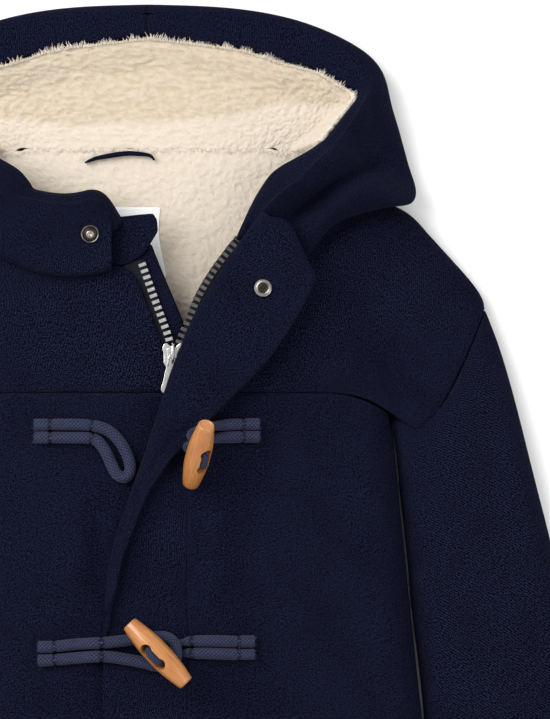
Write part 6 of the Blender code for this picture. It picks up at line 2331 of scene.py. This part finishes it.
class COAT_OT_finishes(bpy.types.Operator):
    """Make the node groups and finishes that all the pieces use"""
    bl_idname = "coat.finishes"
    bl_label = "Finishes"

    def execute(self, context):
        make_finishes(context.scene.coat_cloth, context.scene.coat_fastenings)
        return {"FINISHED"}


class COAT_OT_body(bpy.types.Operator):
    """Lay the back, the fronts and the yokes"""
    bl_idname = "coat.body"
    bl_label = "Body"

    def execute(self, context):
        make_body()
        return {"FINISHED"}


class COAT_OT_sleeves(bpy.types.Operator):
    """Lay both sleeves"""
    bl_idname = "coat.sleeves"
    bl_label = "Sleeves"

    def execute(self, context):
        make_sleeves()
        return {"FINISHED"}


class COAT_OT_hood(bpy.types.Operator):
    """Lay the hood and the facing inside its rim"""
    bl_idname = "coat.hood"
    bl_label = "Hood"

    def execute(self, context):
        make_hood()
        return {"FINISHED"}


class COAT_OT_lining(bpy.types.Operator):
    """Raise the pile lining of the hood and the back neck"""
    bl_idname = "coat.lining"
    bl_label = "Pile lining"

    def execute(self, context):
        make_lining(context.scene.coat_cloth)
        return {"FINISHED"}


class COAT_OT_flap(bpy.types.Operator):
    """Turn the flap back over the zip, with the guard and chin tab behind it"""
    bl_idname = "coat.flap"
    bl_label = "Flap, guard and chin tab"

    def execute(self, context):
        make_flap()
        return {"FINISHED"}


class COAT_OT_label(bpy.types.Operator):
    """Sew in the bare label and the hanger loop"""
    bl_idname = "coat.label"
    bl_label = "Label and hanger loop"

    def execute(self, context):
        make_label()
        make_hanger_loop()
        return {"FINISHED"}


class COAT_OT_zip(bpy.types.Operator):
    """Build the zip's tapes, teeth, slider and pull tab"""
    bl_idname = "coat.zip"
    bl_label = "Zip"

    def execute(self, context):
        make_zip(context.scene.coat_fastenings)
        return {"FINISHED"}


class COAT_OT_snap(bpy.types.Operator):
    """Turn both halves of the snap"""
    bl_idname = "coat.snap"
    bl_label = "Snap"

    def execute(self, context):
        make_snap()
        return {"FINISHED"}


class COAT_OT_toggles(bpy.types.Operator):
    """Turn and bore the wooden toggles"""
    bl_idname = "coat.toggles"
    bl_label = "Toggles"

    def execute(self, context):
        make_toggles()
        return {"FINISHED"}


class COAT_OT_cords(bpy.types.Operator):
    """Plait the loop cords and the toggle cords"""
    bl_idname = "coat.cords"
    bl_label = "Cords"

    def execute(self, context):
        make_cords()
        return {"FINISHED"}


class COAT_OT_stitching(bpy.types.Operator):
    """Run the topstitching along the seams"""
    bl_idname = "coat.stitching"
    bl_label = "Stitching"

    def execute(self, context):
        make_stitching()
        return {"FINISHED"}


class COAT_OT_stage(bpy.types.Operator):
    """Set the floor, the light and the camera"""
    bl_idname = "coat.stage"
    bl_label = "Stage"

    def execute(self, context):
        make_stage(context.scene.coat_stage)
        return {"FINISHED"}


OPERATORS = (
    COAT_OT_finishes, COAT_OT_body, COAT_OT_sleeves, COAT_OT_hood, COAT_OT_lining, COAT_OT_flap,
    COAT_OT_label, COAT_OT_zip, COAT_OT_snap, COAT_OT_toggles, COAT_OT_cords, COAT_OT_stitching,
    COAT_OT_stage,
)


class COAT_PT_panel(bpy.types.Panel):
    """Sizes and colours, and a button for each piece."""
    bl_label = "Duffle Coat"
    bl_idname = "COAT_PT_panel"
    bl_space_type = "VIEW_3D"
    bl_region_type = "UI"
    bl_category = "Coat"

    def draw(self, context):
        for heading, settings in (("Cloth", context.scene.coat_cloth),
                                  ("Fastenings", context.scene.coat_fastenings),
                                  ("Stage", context.scene.coat_stage)):
            box = self.layout.box()
            box.label(text=heading)
            for key in settings.__annotations__:
                box.prop(settings, key)
        column = self.layout.column(align=True)
        for operator in OPERATORS:
            column.operator(operator.bl_idname)


CLASSES = (ClothSettings, FasteningSettings, StageSettings, *OPERATORS, COAT_PT_panel)


def register():
    for item in CLASSES:
        bpy.utils.register_class(item)
    bpy.types.Scene.coat_cloth = bpy.props.PointerProperty(type=ClothSettings)
    bpy.types.Scene.coat_fastenings = bpy.props.PointerProperty(type=FasteningSettings)
    bpy.types.Scene.coat_stage = bpy.props.PointerProperty(type=StageSettings)


def unregister():
    del bpy.types.Scene.coat_stage
    del bpy.types.Scene.coat_fastenings
    del bpy.types.Scene.coat_cloth
    for item in reversed(CLASSES):
        bpy.utils.unregister_class(item)


def dress_coat():
    """Makes every piece in order."""
    register()
    for operator in OPERATORS:
        area, action = operator.bl_idname.split(".")
        if getattr(getattr(bpy.ops, area), action)() != {"FINISHED"}:
            raise RuntimeError("%s did not finish" % operator.bl_idname)


if __name__ == "__main__":
    dress_coat()
